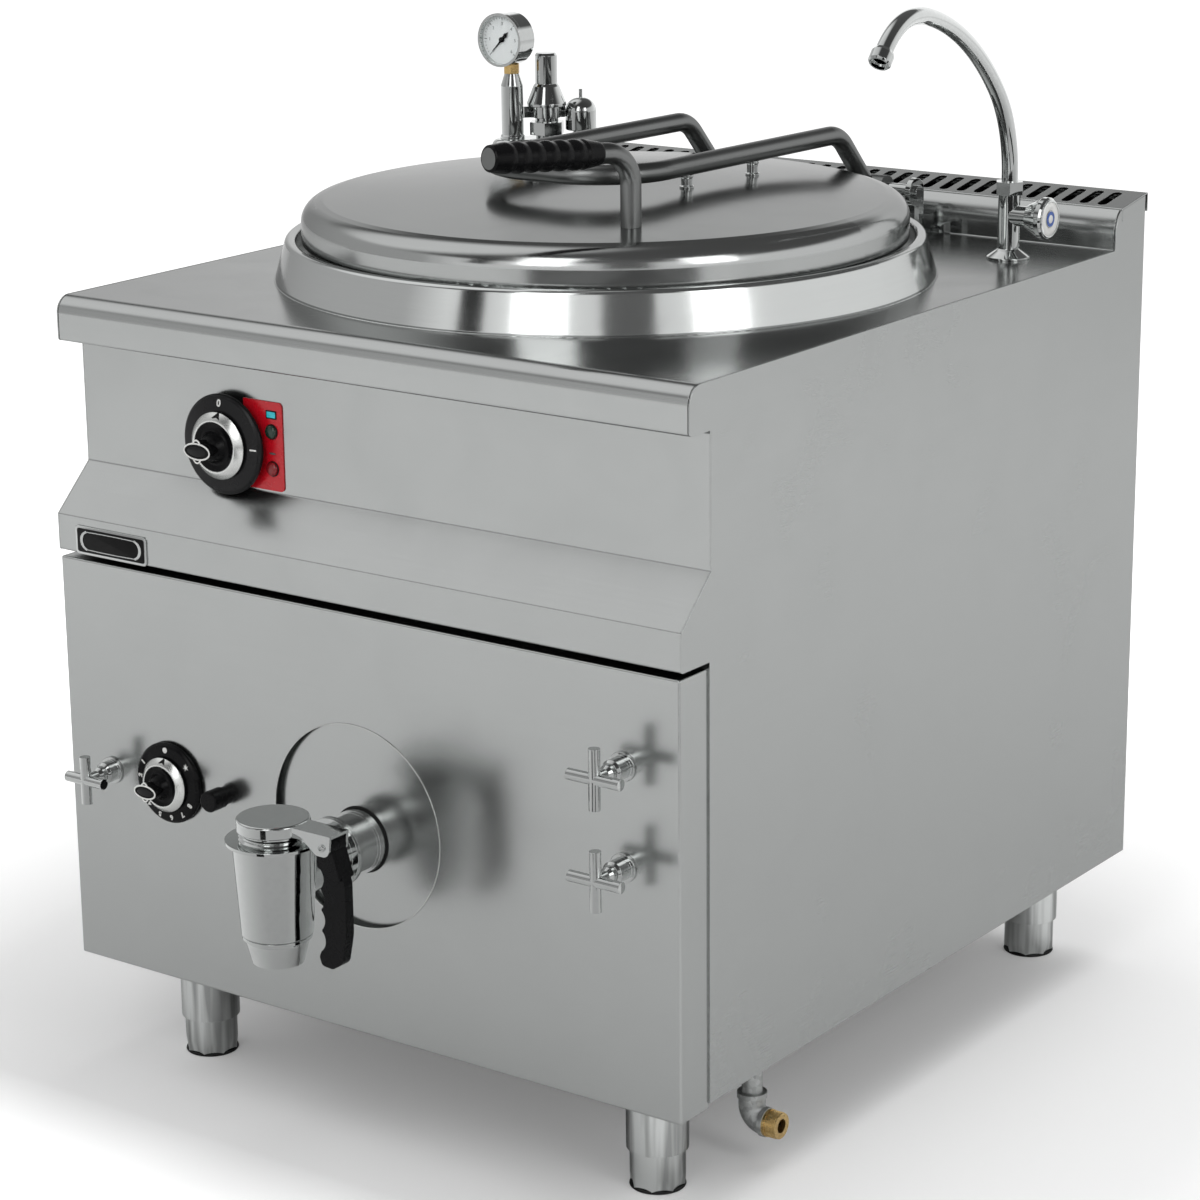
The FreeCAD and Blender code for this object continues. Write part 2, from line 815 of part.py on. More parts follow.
def drain_cap():
    """Cap with the plug on its stem, and the forked arm that the lever is pinned to."""
    base = V(0, tap_y, 0)
    gap = 0.3
    low = tap_neck_z + gap
    lid = lathe(
        [(0, low), (tap_cap_radius, low), (tap_cap_radius, tap_cap_top_z), (0, tap_cap_top_z)],
        base,
        radii=[0, 1, 2.5, 0],
    )
    stem = rod(6.0, tap_point(0, tap_seat_z + 5), tap_point(0, low + 1))
    plug = lathe(
        [
            (0, tap_seat_z + gap),
            (tap_seat_radius, tap_seat_z + gap),
            (tap_chamber_radius - 3, tap_seat_z + 4),
            (tap_chamber_radius - 3, tap_seat_z + 14),
            (0, tap_seat_z + 14),
        ],
        base,
    )
    cheek = lever_neck + 0.5
    wall = 3.0
    outer = cheek + wall
    top = tap_cap_top_z - 1
    web_end = lever_pin_x - 18
    web = box(tap_cap_radius - 8, web_end, tap_y - outer, tap_y + outer, low + 2, top)
    roof = box(web_end - 1, lever_pin_x + 10, tap_y - outer, tap_y + outer, top - wall, top)
    outline = [
        (web_end - 6, low + 2),
        (lever_pin_x - 8, lever_pin_z - 9),
        (lever_pin_x + 8, lever_pin_z - 9),
        (lever_pin_x + 10, top),
        (web_end - 6, top),
    ]
    cheeks = [upright_plate(closed_section(outline, [0, 8, 8, 0, 0]), y, wall) for y in (tap_y - outer, tap_y + cheek)]
    pin = rod(3.5, V(lever_pin_x, tap_y - outer - 1, lever_pin_z), V(lever_pin_x, tap_y + outer + 1, lever_pin_z))
    return fused([lid, stem, plug, web, roof] + cheeks + [pin])


def upright_plate(face, y, thickness):
    """Plate from an outline of (x, z) points, which starts at y and goes back by its thickness."""
    plate = face.extrude(V(0, 0, thickness))
    plate.Placement = FreeCAD.Placement(V(0, y + thickness, 0), FreeCAD.Rotation(X_AXIS, 90))
    return plate


def lever_face(points, radii):
    """Outline of (x, z) points measured from the lever's pin."""
    return closed_section([(lever_pin_x + x, lever_pin_z + z) for x, z in points], radii)


def drain_lever():
    """Plastic hand lever: a boss and neck that fill the fork, and a thinner blade with finger scallops."""
    tip = -lever_length
    blade_points = [
        (-9, -5),
        (9, -5),
        (20, -36),
        (20, tip + 38),
        (14, tip + 8),
        (2, tip),
        (-12, tip + 1),
        (-15, tip + 10),
        (-10.5, tip + 20),
        (-10.5, -24),
    ]
    blade_face = lever_face(blade_points, [2, 2, 30, 60, 10, 8, 5, 5, 6, 8])
    blade = upright_plate(blade_face, tap_y - lever_blade, 2 * lever_blade)
    neck_face = lever_face([(-9, -3), (9, -3), (19.5, -36), (-10.5, -22)], [2, 2, 3, 3])
    neck = upright_plate(neck_face, tap_y - lever_neck, 2 * lever_neck)
    near = V(lever_pin_x, tap_y - lever_neck, lever_pin_z)
    boss = rod(9.4, near, near + V(0, 2 * lever_neck, 0))
    scallops = []
    for i in range(4):
        at = near + V(-6.5 - scallop_radius, -1, -36 - scallop_pitch * i)
        scallops.append(rod(scallop_radius, at, at + V(0, 2 * lever_neck + 2, 0)))
    bore = rod(3.5 + running_gap, near - V(0, 9, 0), near + V(0, 2 * lever_neck + 9, 0))
    return fused([boss, neck, blade.cut(scallops)]).cut(bore)


# Jacket taps and their drain


def jacket_taps():
    """Taps through the door, with their sleeves outside and their pipes to the jacket."""
    solids = []
    for x, z, reach, _ in tap_sites:
        length = reach - tap_hub_length
        r = tap_sleeve_radius
        sleeve = lathe(
            [(0, 0), (tap_collar_radius, 0), (tap_collar_radius, 3), (r, 3), (r, length - 3), (r - 2.5, length), (0, length)],
            V(x, 0, z),
            FRONT,
            [0, 0.8, 1, 0, 0.5, 0.5, 0],
        )
        spindle = rod(4.0, V(x, -length - 10, z), V(x, -length, z))
        shank = rod(r - 0.5, V(x, -1, z), V(x, valve_start_y + 2, z))
        nut = hexagon(27.0, V(x, panel_sheet, z), V(x, valve_start_y, z))
        body = rod(valve_radius, V(x, valve_start_y, z), V(x, valve_end_y, z))
        side = 1 if x > 0 else -1
        jacket_point = radial_from_pan(side, pan_y - 1, jacket_radius)
        end = V(jacket_point.x, jacket_point.y, z)
        tail = swept([V(x, valve_end_y - 6, z), V(x, valve_end_y + 34, z), end], [22], 8.0)
        solids.append(fused([sleeve, spindle, shank, nut, body, tail]).cut(jacket_filled()))
    return Part.Compound(solids)


def tap_handle(x, z, reach, span):
    """Cross handle: two round bars through a tapered hub, on the tap's spindle."""
    sleeve_end = tap_hub_length - reach
    hub = lathe(
        [(0, 0.3), (8.5, 0.3), (8.5, 5), (6, 9), (6, tap_hub_length), (0, tap_hub_length)],
        V(x, sleeve_end, z),
        FRONT,
    )
    rise = span * math.cos(math.radians(2))
    upright = rod(tap_arm_radius, V(x, -reach, z - rise), V(x, -reach, z + rise))
    level = rod(tap_arm_radius, V(x - rise, -reach, z), V(x + rise, -reach, z))
    bore = rod(4.0 + running_gap, V(x, sleeve_end - 10.5, z), V(x, sleeve_end + 1, z))
    return fused([hub, upright, level]).cut(bore)


def level_drain_pipe():
    """Pipe from the two level taps down through the bottom, with the short link between the taps."""
    x = tap_sites[0][0]
    upper = tap_sites[0][1]
    lower = tap_sites[1][1]
    y = (valve_start_y + valve_end_y) / 2
    body = valve_radius
    run = [
        V(x, y, lower - body),
        V(x, y, 235),
        V(level_pipe_x, level_pipe_y, 235),
        V(level_pipe_x, level_pipe_y, elbow_z + 24),
    ]
    link = rod(level_pipe_radius - 3, V(x, y, lower + body - 1), V(x, y, upper - body + 1))
    bodies = [rod(body, V(x, valve_start_y, z), V(x, valve_end_y, z)) for z in (upper, lower)]
    drop = pipe([run[0] + V(0, 0, 2)] + run[1:], [30, 30], level_pipe_radius, level_pipe_radius - 2.6)
    return Part.Compound([drop.cut(bodies), link.cut(bodies)])


def drain_elbow():
    """Malleable iron elbow with a bead round each mouth."""
    top = V(level_pipe_x, level_pipe_y, elbow_z + 30)
    corner = V(level_pipe_x, level_pipe_y, elbow_z)
    mouth = V(level_pipe_x + 20, level_pipe_y, elbow_z)
    outer = swept([top, corner, mouth], [16], elbow_radius - 1.5)
    beads = [
        rod(elbow_radius, V(level_pipe_x, level_pipe_y, elbow_z + 24), top),
        rod(elbow_radius, V(level_pipe_x + 15, level_pipe_y, elbow_z), mouth),
    ]
    inner = swept([top, corner, mouth], [16], nipple_bore)
    socket = rod(level_pipe_radius, V(level_pipe_x, level_pipe_y, elbow_z + 24), top)
    return fused([outer] + beads).cut([inner, socket])


def drain_nipple():
    start = V(level_pipe_x + 20, level_pipe_y, elbow_z)
    end = V(nipple_end_x, level_pipe_y, elbow_z)
    body = rod(13.6, start + V(3, 0, 0), end)
    collar = rod(14.6, start, start + V(3, 0, 0))
    return fused([body, collar]).cut(rod(nipple_bore, start, end))


# Instruments


def on_header(offset, z):
    """Point over the header's centre line, the given distance from its middle."""
    a = math.radians(header_turn)
    return V(header_x + offset * math.cos(a), header_y + offset * math.sin(a), z)


def instrument_header():
    """Rounded header on a riser that comes up through the worktop from the jacket."""
    low = header_top_z - header_height
    half = header_half_width
    straight = Part.makeBox(2 * instrument_pitch, 2 * half, header_height, V(-instrument_pitch, -half, 0))
    ends = [rod(half, V(s * instrument_pitch, 0, 0), V(s * instrument_pitch, 0, header_height)) for s in (-1, 1)]
    slab = fused([straight] + ends)
    slab = slab.makeFillet(9.0, [e for e in slab.Edges if e.BoundBox.ZMin > header_height - 0.01])
    slab.Placement = FreeCAD.Placement(V(header_x, header_y, low), FreeCAD.Rotation(Z_AXIS, header_turn))
    wall_point = radial_from_pan(header_x, header_y, jacket_radius)
    knee_z = jacket_top_z - 60
    run = [V(header_x, header_y, low + 1), V(header_x, header_y, knee_z), V(wall_point.x, wall_point.y, knee_z)]
    riser = swept(run, [36], riser_radius - 1)
    rose = lathe(
        [(0, 0), (riser_radius + 15, 0), (riser_radius + 13, 4), (riser_radius - 1, 8), (0, 8)],
        V(header_x, header_y, worktop_z + seat),
    )
    return fused([slab, riser, rose]).cut(jacket_filled())


def gauge_column():
    base = on_header(-instrument_pitch, header_top_z)
    height = column_top_z - header_top_z
    r = column_radius
    return lathe(
        [(0, 0), (r + 1.5, 0), (r + 1.5, 3), (r, 5), (r, height - 14), (r - 3.5, height - 3), (r - 4.5, height), (0, height)],
        base,
        radii=[0, 0, 0, 0, 6, 2, 0, 0],
    )


def gauge_nut():
    base = on_header(-instrument_pitch, column_top_z)
    return hexagon(17.0, base, base + V(0, 0, gauge_z - gauge_radius - column_top_z + 1.5))


def gauge_centre(forward):
    return on_header(-instrument_pitch, gauge_z) + V(0, -forward, 0)


def gauge_case():
    """Round case, open at the front behind its lens, with a rolled bezel."""
    r = gauge_radius
    d = gauge_depth
    back = gauge_centre(gauge_reach - d)
    profile = [(0, 0), (r - 3, 0), (r - 1, 2), (r - 1, d - 6), (r, d - 5), (r, d), (r - 3, d), (r - 3, d - 8), (0, d - 8)]
    case = lathe(profile, back, FRONT)
    return case.cut(gauge_nut())


def gauge_dial():
    """Dial plate with the needle's spindle."""
    back = gauge_centre(gauge_reach - 8)
    plate = rod(gauge_radius - 3, back, back + V(0, -1, 0))
    spindle = rod(spindle_radius, back, back + V(0, -3.5, 0))
    return fused([plate, spindle])


def gauge_lens():
    back = gauge_centre(gauge_reach - 3)
    return rod(gauge_radius - 3, back, back + V(0, -2, 0))


def gauge_needle():
    """Tapered needle with a tail and a boss, lying free between dial and lens."""
    centre = gauge_centre(gauge_reach - 6.4)
    a = math.radians(225)
    reach = gauge_radius - 10
    tip = V(math.cos(a), 0, math.sin(a))
    side = V(-tip.z, 0, tip.x)
    points = [centre + tip * reach, centre + side * 1.3, centre - tip * 9 + side * 2.4]
    points += [centre - tip * 9 - side * 2.4, centre - side * 1.3, centre + tip * reach]
    blade = Part.Face(Part.makePolygon(points)).extrude(V(0, -1, 0))
    boss = rod(2.8, centre + V(0, 0.4, 0), centre + V(0, -1.6, 0))
    bore = rod(spindle_radius + running_gap, centre + V(0, 3, 0), centre + V(0, -3, 0))
    return fused([blade, boss]).cut(bore)


def safety_valve():
    """Spring safety valve: hexagon foot, cross nipples, flared bonnet and capped spring tube."""
    base = on_header(0, header_top_z)
    a = math.radians(header_turn)
    along = V(math.cos(a), math.sin(a), 0)
    foot = rod(13.0, base, base + V(0, 0, 5))
    nut = hexagon(38.0, base + V(0, 0, 4), base + V(0, 0, 19))
    neck = rod(14.0, base + V(0, 0, 18), base + V(0, 0, 25))
    middle = base + V(0, 0, 30)
    reach = instrument_pitch - column_radius - 0.3
    arms = hexagon(13.0, middle - along * reach, middle + along * (instrument_pitch - bell_radius - 0.5))
    bonnet = lathe(
        [(0, 24), (17, 24), (17, 37), (23.5, 38), (23.5, 41), (15.5, 61), (13.2, 64), (13.2, 97), (11.5, 100), (0, 100)],
        base,
        radii=[0, 0, 0, 0, 2, 2, 0, 0, 0, 0],
    )
    return fused([foot, nut, neck, arms, bonnet])


def vent_bell():
    """Vacuum breaker under its chrome bell, with the lifting pin on top."""
    base = on_header(instrument_pitch, 0)
    r = bell_radius
    profile = [(0, header_top_z), (10, header_top_z), (10, bell_bottom_z), (r, bell_bottom_z), (r, bell_top_z), (0, bell_top_z)]
    bell = lathe(profile, base, radii=[0, 0, 0, 1, 16, 0])
    pin = rod(2.2, base + V(0, 0, bell_top_z - 3), base + V(0, 0, bell_top_z + 10))
    return fused([bell, pin])


# Tap over the pan


def faucet_body():
    base = V(faucet_x, faucet_y, worktop_z + seat)
    height = faucet_top_z - worktop_z
    r = faucet_radius
    column = lathe(
        [(0, 0), (faucet_flange_radius, 0), (faucet_flange_radius, 2.5), (14, 9), (r, 11), (r, height), (0, height)],
        base,
        radii=[0, 0, 1, 3, 0, 0, 0],
    )
    hub_z = faucet_top_z + 8
    nut = hexagon(28.0, V(faucet_x, faucet_y, faucet_top_z), V(faucet_x, faucet_y, hub_z + 6))
    bore = rod(spout_radius + running_gap, V(faucet_x, faucet_y, hub_z - 6), V(faucet_x, faucet_y, hub_z + 7))
    side = lathe(
        [(0, 0), (11, 0), (11, 24), (9.5, 25), (9.5, 33), (0, 33)],
        V(faucet_x, faucet_y, handwheel_z),
        X_AXIS,
    )
    shank = rod(faucet_radius - 1.5, V(faucet_x, faucet_y, worktop_z - 40), base)
    under = worktop_z - top_sheet
    nut_below = hexagon(30.0, V(faucet_x, faucet_y, under - 9), V(faucet_x, faucet_y, under - 0.1))
    return fused([column, nut, side, shank, nut_below]).cut(bore)


def spout_points():
    """Corners of the spout's line: upright, leaning to the front, over the crown and down to the nozzle."""
    park = math.radians(spout_park)
    out = V(math.sin(park), -math.cos(park), 0)
    bends = [
        (spout_foot_radius, spout_foot_turn, 0.5),
        (spout_lean_radius, spout_lean_turn, 0.5),
        (spout_crown_radius, 90 - spout_foot_turn - spout_lean_turn, spout_crown_run),
        (spout_tip_radius, spout_tip_turn, 0.5),
    ]
    heading = math.radians(90)
    here = V(0, spout_bend_z, 0)
    line = [V(0, faucet_top_z + 3, 0)]
    for radius, turn, run in bends:
        cut = radius * math.tan(math.radians(turn) / 2)
        corner = here + V(math.cos(heading), math.sin(heading), 0) * cut
        line.append(corner)
        heading -= math.radians(turn)
        here = corner + V(math.cos(heading), math.sin(heading), 0) * (cut + run)
    line.append(here)
    points = [V(faucet_x, faucet_y, p.y) + out * p.x for p in line]
    return points, [radius for radius, _, _ in bends]


def faucet_spout():
    """Bent tube that turns in the tap's hub, parked clear of the lid, with its nozzle at the end."""
    points, radii = spout_points()
    tube = swept(points, radii, spout_radius)
    end = points[-1]
    along = (points[-1] - points[-2]).normalize()
    r = nozzle_radius
    length = nozzle_length
    nozzle = lathe(
        [(0, 0), (r - 2, 0), (r, 4), (r, length - 2), (r - 1.5, length), (0, length)],
        end - along,
        along,
    )
    mouth = rod(r - 2.7, end + along * 10, end + along * (length + 2))
    way = swept(points + [end + along * 12], radii + [0], spout_bore)
    return fused([tube, nozzle]).cut([mouth, way])


def faucet_handwheel():
    """Fluted handle on the side valve, with a flat face and a raised index."""
    base = V(faucet_x + 25.4, faucet_y, handwheel_z)
    r = handwheel_radius
    knob = lathe([(0, 0), (14, 0), (17, 6), (r, 17), (r, 22), (r - 2, 24), (0, 24)], base, X_AXIS)
    flutes = []
    for i in range(8):
        a = 2 * math.pi * i / 8 + math.pi / 8
        at = base + V(-1, math.cos(a) * (r + 2.5), math.sin(a) * (r + 2.5))
        flutes.append(rod(5.5, at, at + V(17, 0, 0)))
    index = rod(9.0, base + V(23, 0, 0), base + V(25.5, 0, 0))
    socket = rod(9.5 + running_gap, base + V(-1, 0, 0), base + V(8, 0, 0))
    return fused([knob.cut(flutes), index]).cut(socket)


# Knobs, lamps and button


def dial_knob(x, front_y, z, radius, tip):
    """Round skirt under a waisted stem, which ends in two crossed lobes."""
    base = V(x, front_y, z)
    r = radius
    skirt = lathe(
        [(0, 0), (r, 0), (r, 3), (r * 0.8, 9), (r * 0.72, 9), (r * 0.5, 7), (r * 0.36, tip * 0.5), (r * 0.26, tip * 0.62), (0, tip * 0.62)],
        base,
        FRONT,
        [0, 0, 1, 1, 1, 4, 6, 0, 0],
    )
    lobes = []
    for long_side, short_side in ((r * 0.52, r * 0.26), (r * 0.2, r * 0.36)):
        wires = []
        for depth, grow in ((tip * 0.3, 0.6), (tip * 0.7, 0.85), (tip, 1.0)):
            major, minor = max(long_side, short_side) * grow, min(long_side, short_side) * grow
            ellipse = Part.Ellipse(V(0, 0, 0), major, minor).toShape()
            wire = Part.Wire(ellipse)
            wire.rotate(V(0, 0, 0), X_AXIS, 90)
            if short_side > long_side:
                wire.rotate(V(0, 0, 0), Y_AXIS, 90)
            wire.translate(base + V(0, -depth, 0))
            wires.append(wire)
        lobes.append(Part.makeLoft(wires, True))
    return fused([skirt] + lobes)


def switch_bezel():
    """Dished ring that carries the marks. Its back is narrow, so that it clears the panel's crease."""
    r = switch_bezel_radius
    base = V(switch_x, panel_y - seat, switch_z)
    back = switch_bezel_back
    profile = [(16, 0), (back, 0), (back, 7.5), (r, 9), (r, 12.5), (r - 3, 15), (switch_knob_radius + 2, 17), (16, 17)]
    return lathe(profile, base, FRONT, [0, 0, 0, 1, 2, 3, 1, 0])


def switch_knob():
    front = panel_y - seat - 17 - 0.5
    knob = dial_knob(switch_x, front, switch_z, switch_knob_radius, 34.5)
    return knob.cut(rod(3.5 + running_gap, V(switch_x, front - 5, switch_z), V(switch_x, front + 1, switch_z)))


def gas_bezel():
    r = gas_bezel_radius
    base = V(gas_x, -seat, gas_z)
    profile = [(13, 0), (r - 2, 0), (r, 2), (r, 5), (r - 3, 7.5), (gas_knob_radius + 1.5, 9), (13, 9)]
    return lathe(profile, base, FRONT, [0, 0, 1, 2, 3, 1, 0])


def gas_knob():
    front = -seat - 9 - 0.5
    knob = dial_knob(gas_x, front, gas_z, gas_knob_radius, 32.0)
    return knob.cut(rod(4.0 + running_gap, V(gas_x, front - 5, gas_z), V(gas_x, front + 1, gas_z)))


def igniter_button():
    """Push button: a cap that slides over the barrel's ring, and its stem."""
    r = button_radius
    rim = bush_y - seat * 4
    outer = rod(r, V(button_x, button_front_y, gas_z), V(button_x, rim, gas_z))
    outer = outer.makeFillet(2.0, [e for e in outer.Edges if e.BoundBox.YMax < button_front_y + 0.1])
    hollow = rod(r - 1.2, V(button_x, bush_y - button_travel - 2, gas_z), V(button_x, rim + 1, gas_z))
    stem = rod(4.0, V(button_x, button_front_y + 5, gas_z), V(button_x, 33 - button_travel, gas_z))
    return fused([outer.cut(hollow), stem])


def indicator_plate():
    low = panel_y - 1.2
    plate = box(switch_x + 20, plate_right_x, low, panel_y - seat, plate_bottom_z, plate_top_z)
    corners = [e for e in plate.Edges if e.BoundBox.XMin > plate_right_x - 0.1 and e.BoundBox.ZLength < 0.1]
    plate = plate.makeFillet(5.0, corners)
    holes = [rod(switch_bezel_back + 0.2, V(switch_x, low - 1, switch_z), V(switch_x, panel_y + 1, switch_z))]
    for z in lamp_z:
        holes.append(rod(lamp_radius - 2, V(lamp_x, low - 1, z), V(lamp_x, panel_y + 1, z)))
    return plate.cut(holes)


def indicator_lamps():
    lamps = []
    for z in lamp_z:
        lens = lathe(
            [(0, 0), (lamp_radius, 0), (lamp_radius, 2), (0, 4.5)],
            V(lamp_x, panel_y - 1.2, z),
            FRONT,
            [0, 0, 3, 0],
        )
        shank = rod(lamp_radius - 2.1, V(lamp_x, panel_y - 2, z), V(lamp_x, panel_y + 16, z))
        nut = hexagon(13.0, V(lamp_x, panel_y + panel_sheet, z), V(lamp_x, panel_y + 6, z))
        lamps.append(fused([lens, shank, nut]))
    return Part.Compound(lamps)


# Lid and hinge


def dome_z(radius):
    """Height of the lid's skin over the pan, on a shallow dome."""
    return lid_top_z - (lid_top_z - lid_crease_z) * (radius / lid_crease_radius) ** 2


def dome_height(x, y):
    return dome_z(math.hypot(x, y - pan_y))


def lid_shell():
    """Domed sheet with a rounded shoulder, a short skirt and a hem turned in."""
    t = lid_sheet
    rise = lid_top_z - lid_crease_z
    dome_r = (lid_crease_radius**2 + rise**2) / (2 * rise)
    centre_z = lid_top_z - dome_r

    def arc(radius, reach):
        end_z = centre_z + math.sqrt(radius**2 - reach**2)
        mid = reach / 2
        mid_z = centre_z + math.sqrt(radius**2 - mid**2)
        top = V(0, centre_z + radius, 0)
        return Part.Arc(top, V(mid, mid_z, 0), V(reach, end_z, 0)).toShape(), V(reach, end_z, 0)

    outer, crease = arc(dome_r, lid_crease_radius)
    inner, inner_crease = arc(dome_r - t, lid_crease_radius - 0.4)
    shoulder = crease.y - lid_rim_fall
    rim = [crease, V(lid_radius, shoulder, 0), V(lid_radius, lid_edge_z, 0), V(lid_radius - 12, lid_edge_z, 0)]
    within = lid_radius - t
    back = [rim[-1] + V(0, t, 0), V(within, lid_edge_z + t, 0), V(within, shoulder - t, 0), inner_crease]
    edges = [outer] + rounded_edges(rim, [lid_rim_bend, 3]) + [Part.makeLine(rim[-1], back[0])]
    edges += rounded_edges(back, [1.5, lid_rim_bend - t]) + [inner]
    edges.append(Part.makeLine(V(0, lid_top_z - t, 0), V(0, lid_top_z, 0)))
    return turned(Part.Face(Part.Wire(Part.__sortEdges__(edges))), V(0, pan_y, 0))


def lid_inner_plate():
    """Pressed underside that rests on the pan's lip and is folded into the lid's hem."""
    low = pan_lip_z + lid_lift_gap
    hem = lid_edge_z - lid_sheet - seat
    skin = [(0, low), (pan_radius + lip_width + 1, low), (pan_radius + lip_width + 4, hem), (lid_radius - 4, hem)]
    return turned(sheet_section(skin, [2, 2], lid_sheet), V(0, pan_y, 0))


def lid_frame():
    """Bent tube over the lid, open to the back, with a welded sleeve on the hinge pin at each end."""
    w = frame_half_width
    line = [
        V(-w, hinge_y, hinge_z),
        V(-w, apex_y, apex_z),
        V(-w, frame_front_y, frame_front_z),
        V(w, frame_front_y, frame_front_z),
        V(w, apex_y, apex_z),
        V(w, hinge_y, hinge_z),
    ]
    tube = swept(line, [apex_bend, frame_front_bend, frame_front_bend, apex_bend], tube_radius)
    half = hinge_sleeve_length / 2
    sleeves = [rod(sleeve_outer, V(s * w - half, hinge_y, hinge_z), V(s * w + half, hinge_y, hinge_z)) for s in (-1, 1)]
    bore = rod(pin_radius + running_gap, V(-half_width, hinge_y, hinge_z), V(half_width, hinge_y, hinge_z))
    return fused([tube] + sleeves).cut(bore)


def frame_height(y):
    """Height of the frame's centre line along its straight sides."""
    along = (y - frame_front_y) / (apex_y - frame_front_y)
    return frame_front_z + (apex_z - frame_front_z) * along


def lid_standoffs():
    """Chrome spacers between the lid and the frame, each with a ring at its foot and a flared head."""
    r = standoff_radius
    solids = []
    for side in (-1, 1):
        for y in standoff_y:
            x = side * frame_half_width
            foot_z = dome_height(x, y) - 0.4
            h = frame_height(y) - tube_radius + 1.5 - foot_z
            profile = [(0, 0), (r + 1.6, 0), (r + 1.6, 2.2), (r, 3.4), (r, h - 4), (r + 1.2, h - 2.6), (r + 1.2, h), (0, h)]
            spacer = lathe(profile, V(x, y, foot_z))
            tube = rod(tube_radius, V(x, y - 20, frame_height(y - 20)), V(x, y + 20, frame_height(y + 20)))
            solids.append(spacer.cut([tube, lid_solid()]))
    return Part.Compound(solids)


def lid_solid():
    """The dome as one full body, to trim what stands on the lid."""
    rise = lid_top_z - lid_crease_z
    dome_r = (lid_crease_radius**2 + rise**2) / (2 * rise)
    ball = Part.makeSphere(dome_r, V(0, pan_y, lid_top_z - dome_r))
    return ball.common(rod(lid_crease_radius, V(0, pan_y, lid_edge_z), V(0, pan_y, lid_top_z + 1)))


def handle_line():
    """Foot and corner of the handle's bar, and the direction in which its grip runs to the front."""
    turn = math.radians(handle_turn)
    rise = math.radians(handle_rise)
    foot = V(post_x, post_y, dome_height(post_x, post_y) - 3)
    corner = V(post_x, post_y, handle_corner_z)
    forward = V(-math.sin(turn) * math.cos(rise), -math.cos(turn) * math.cos(rise), math.sin(rise))
    return foot, corner, forward


def handle_bar():
    foot, corner, forward = handle_line()
    end = corner + forward * (grip_start + grip_length)
    bar = swept([foot, corner, end], [handle_bend], tube_radius)
    return bar.cut(lid_solid())


def handle_grip():
    """Plastic grip with a plain cuff, five lobes between grooves and a tapered nose."""
    _, corner, forward = handle_line()
    base = corner + forward * grip_start
    r = grip_radius
    length = grip_length
    cuff = 24.0
    nose = 26.0
    pitch = (length - cuff - nose) / grip_lobes
    points = [(tube_radius, 0), (r - 4, 0), (r - 3.4, 2), (r - 0.4, cuff - 3)]
    radii = [0, 0.4, 2, 1.5]
    for i in range(grip_lobes):
        start = cuff + i * pitch
        points += [(r - 1.6, start), (r + 0.5, start + pitch * 0.5)]
        radii += [2, 15]
    points += [(r - 1.5, length - nose), (r, length - 20), (r - 2.3, length - 1.5), (r - 3.9, length), (tube_radius, length)]
    radii += [2, 10, 1, 0.6, 0]
    return lathe(points, base, forward, radii)


def hinge_pin():
    reach = bracket_x + bracket_plate / 2 + 4
    return rod(pin_radius, V(-reach, hinge_y, hinge_z), V(reach, hinge_y, hinge_z))


def hinge_brackets():
    """Plates with a round head on a narrow leg, bent out to a bolted foot whose end is turned up."""
    solids = []
    half = bracket_plate / 2
    low = worktop_z + seat
    leg_y0, leg_y1 = (hinge_y + reach for reach in bracket_leg)
    bolt_y = (leg_y0 + leg_y1) / 2
    for side in (-1, 1):
        x = side * bracket_x
        head = rod(sleeve_outer, V(x - half, hinge_y, hinge_z), V(x + half, hinge_y, hinge_z))
        leg = box(x - half, x + half, leg_y0, leg_y1 - 4, low, hinge_z)
        foot_x0, foot_x1 = sorted((x - side * half, x + side * bracket_foot))
        foot = box(foot_x0, foot_x1, leg_y0, leg_y1, low, low + 5)
        end_x0, end_x1 = sorted((x + side * (bracket_foot - 2.5), x + side * bracket_foot))
        end = box(end_x0, end_x1, leg_y0, leg_y1, low, low + 16)
        bolt = hexagon(10.0, V(x + side * 20, bolt_y, low + 4), V(x + side * 20, bolt_y, low + 11))
        bore = rod(pin_radius, V(x - 20, hinge_y, hinge_z), V(x + 20, hinge_y, hinge_z))
        solids.append(fused([head, leg, foot, end, bolt]).cut(bore))
    return Part.Compound(solids)


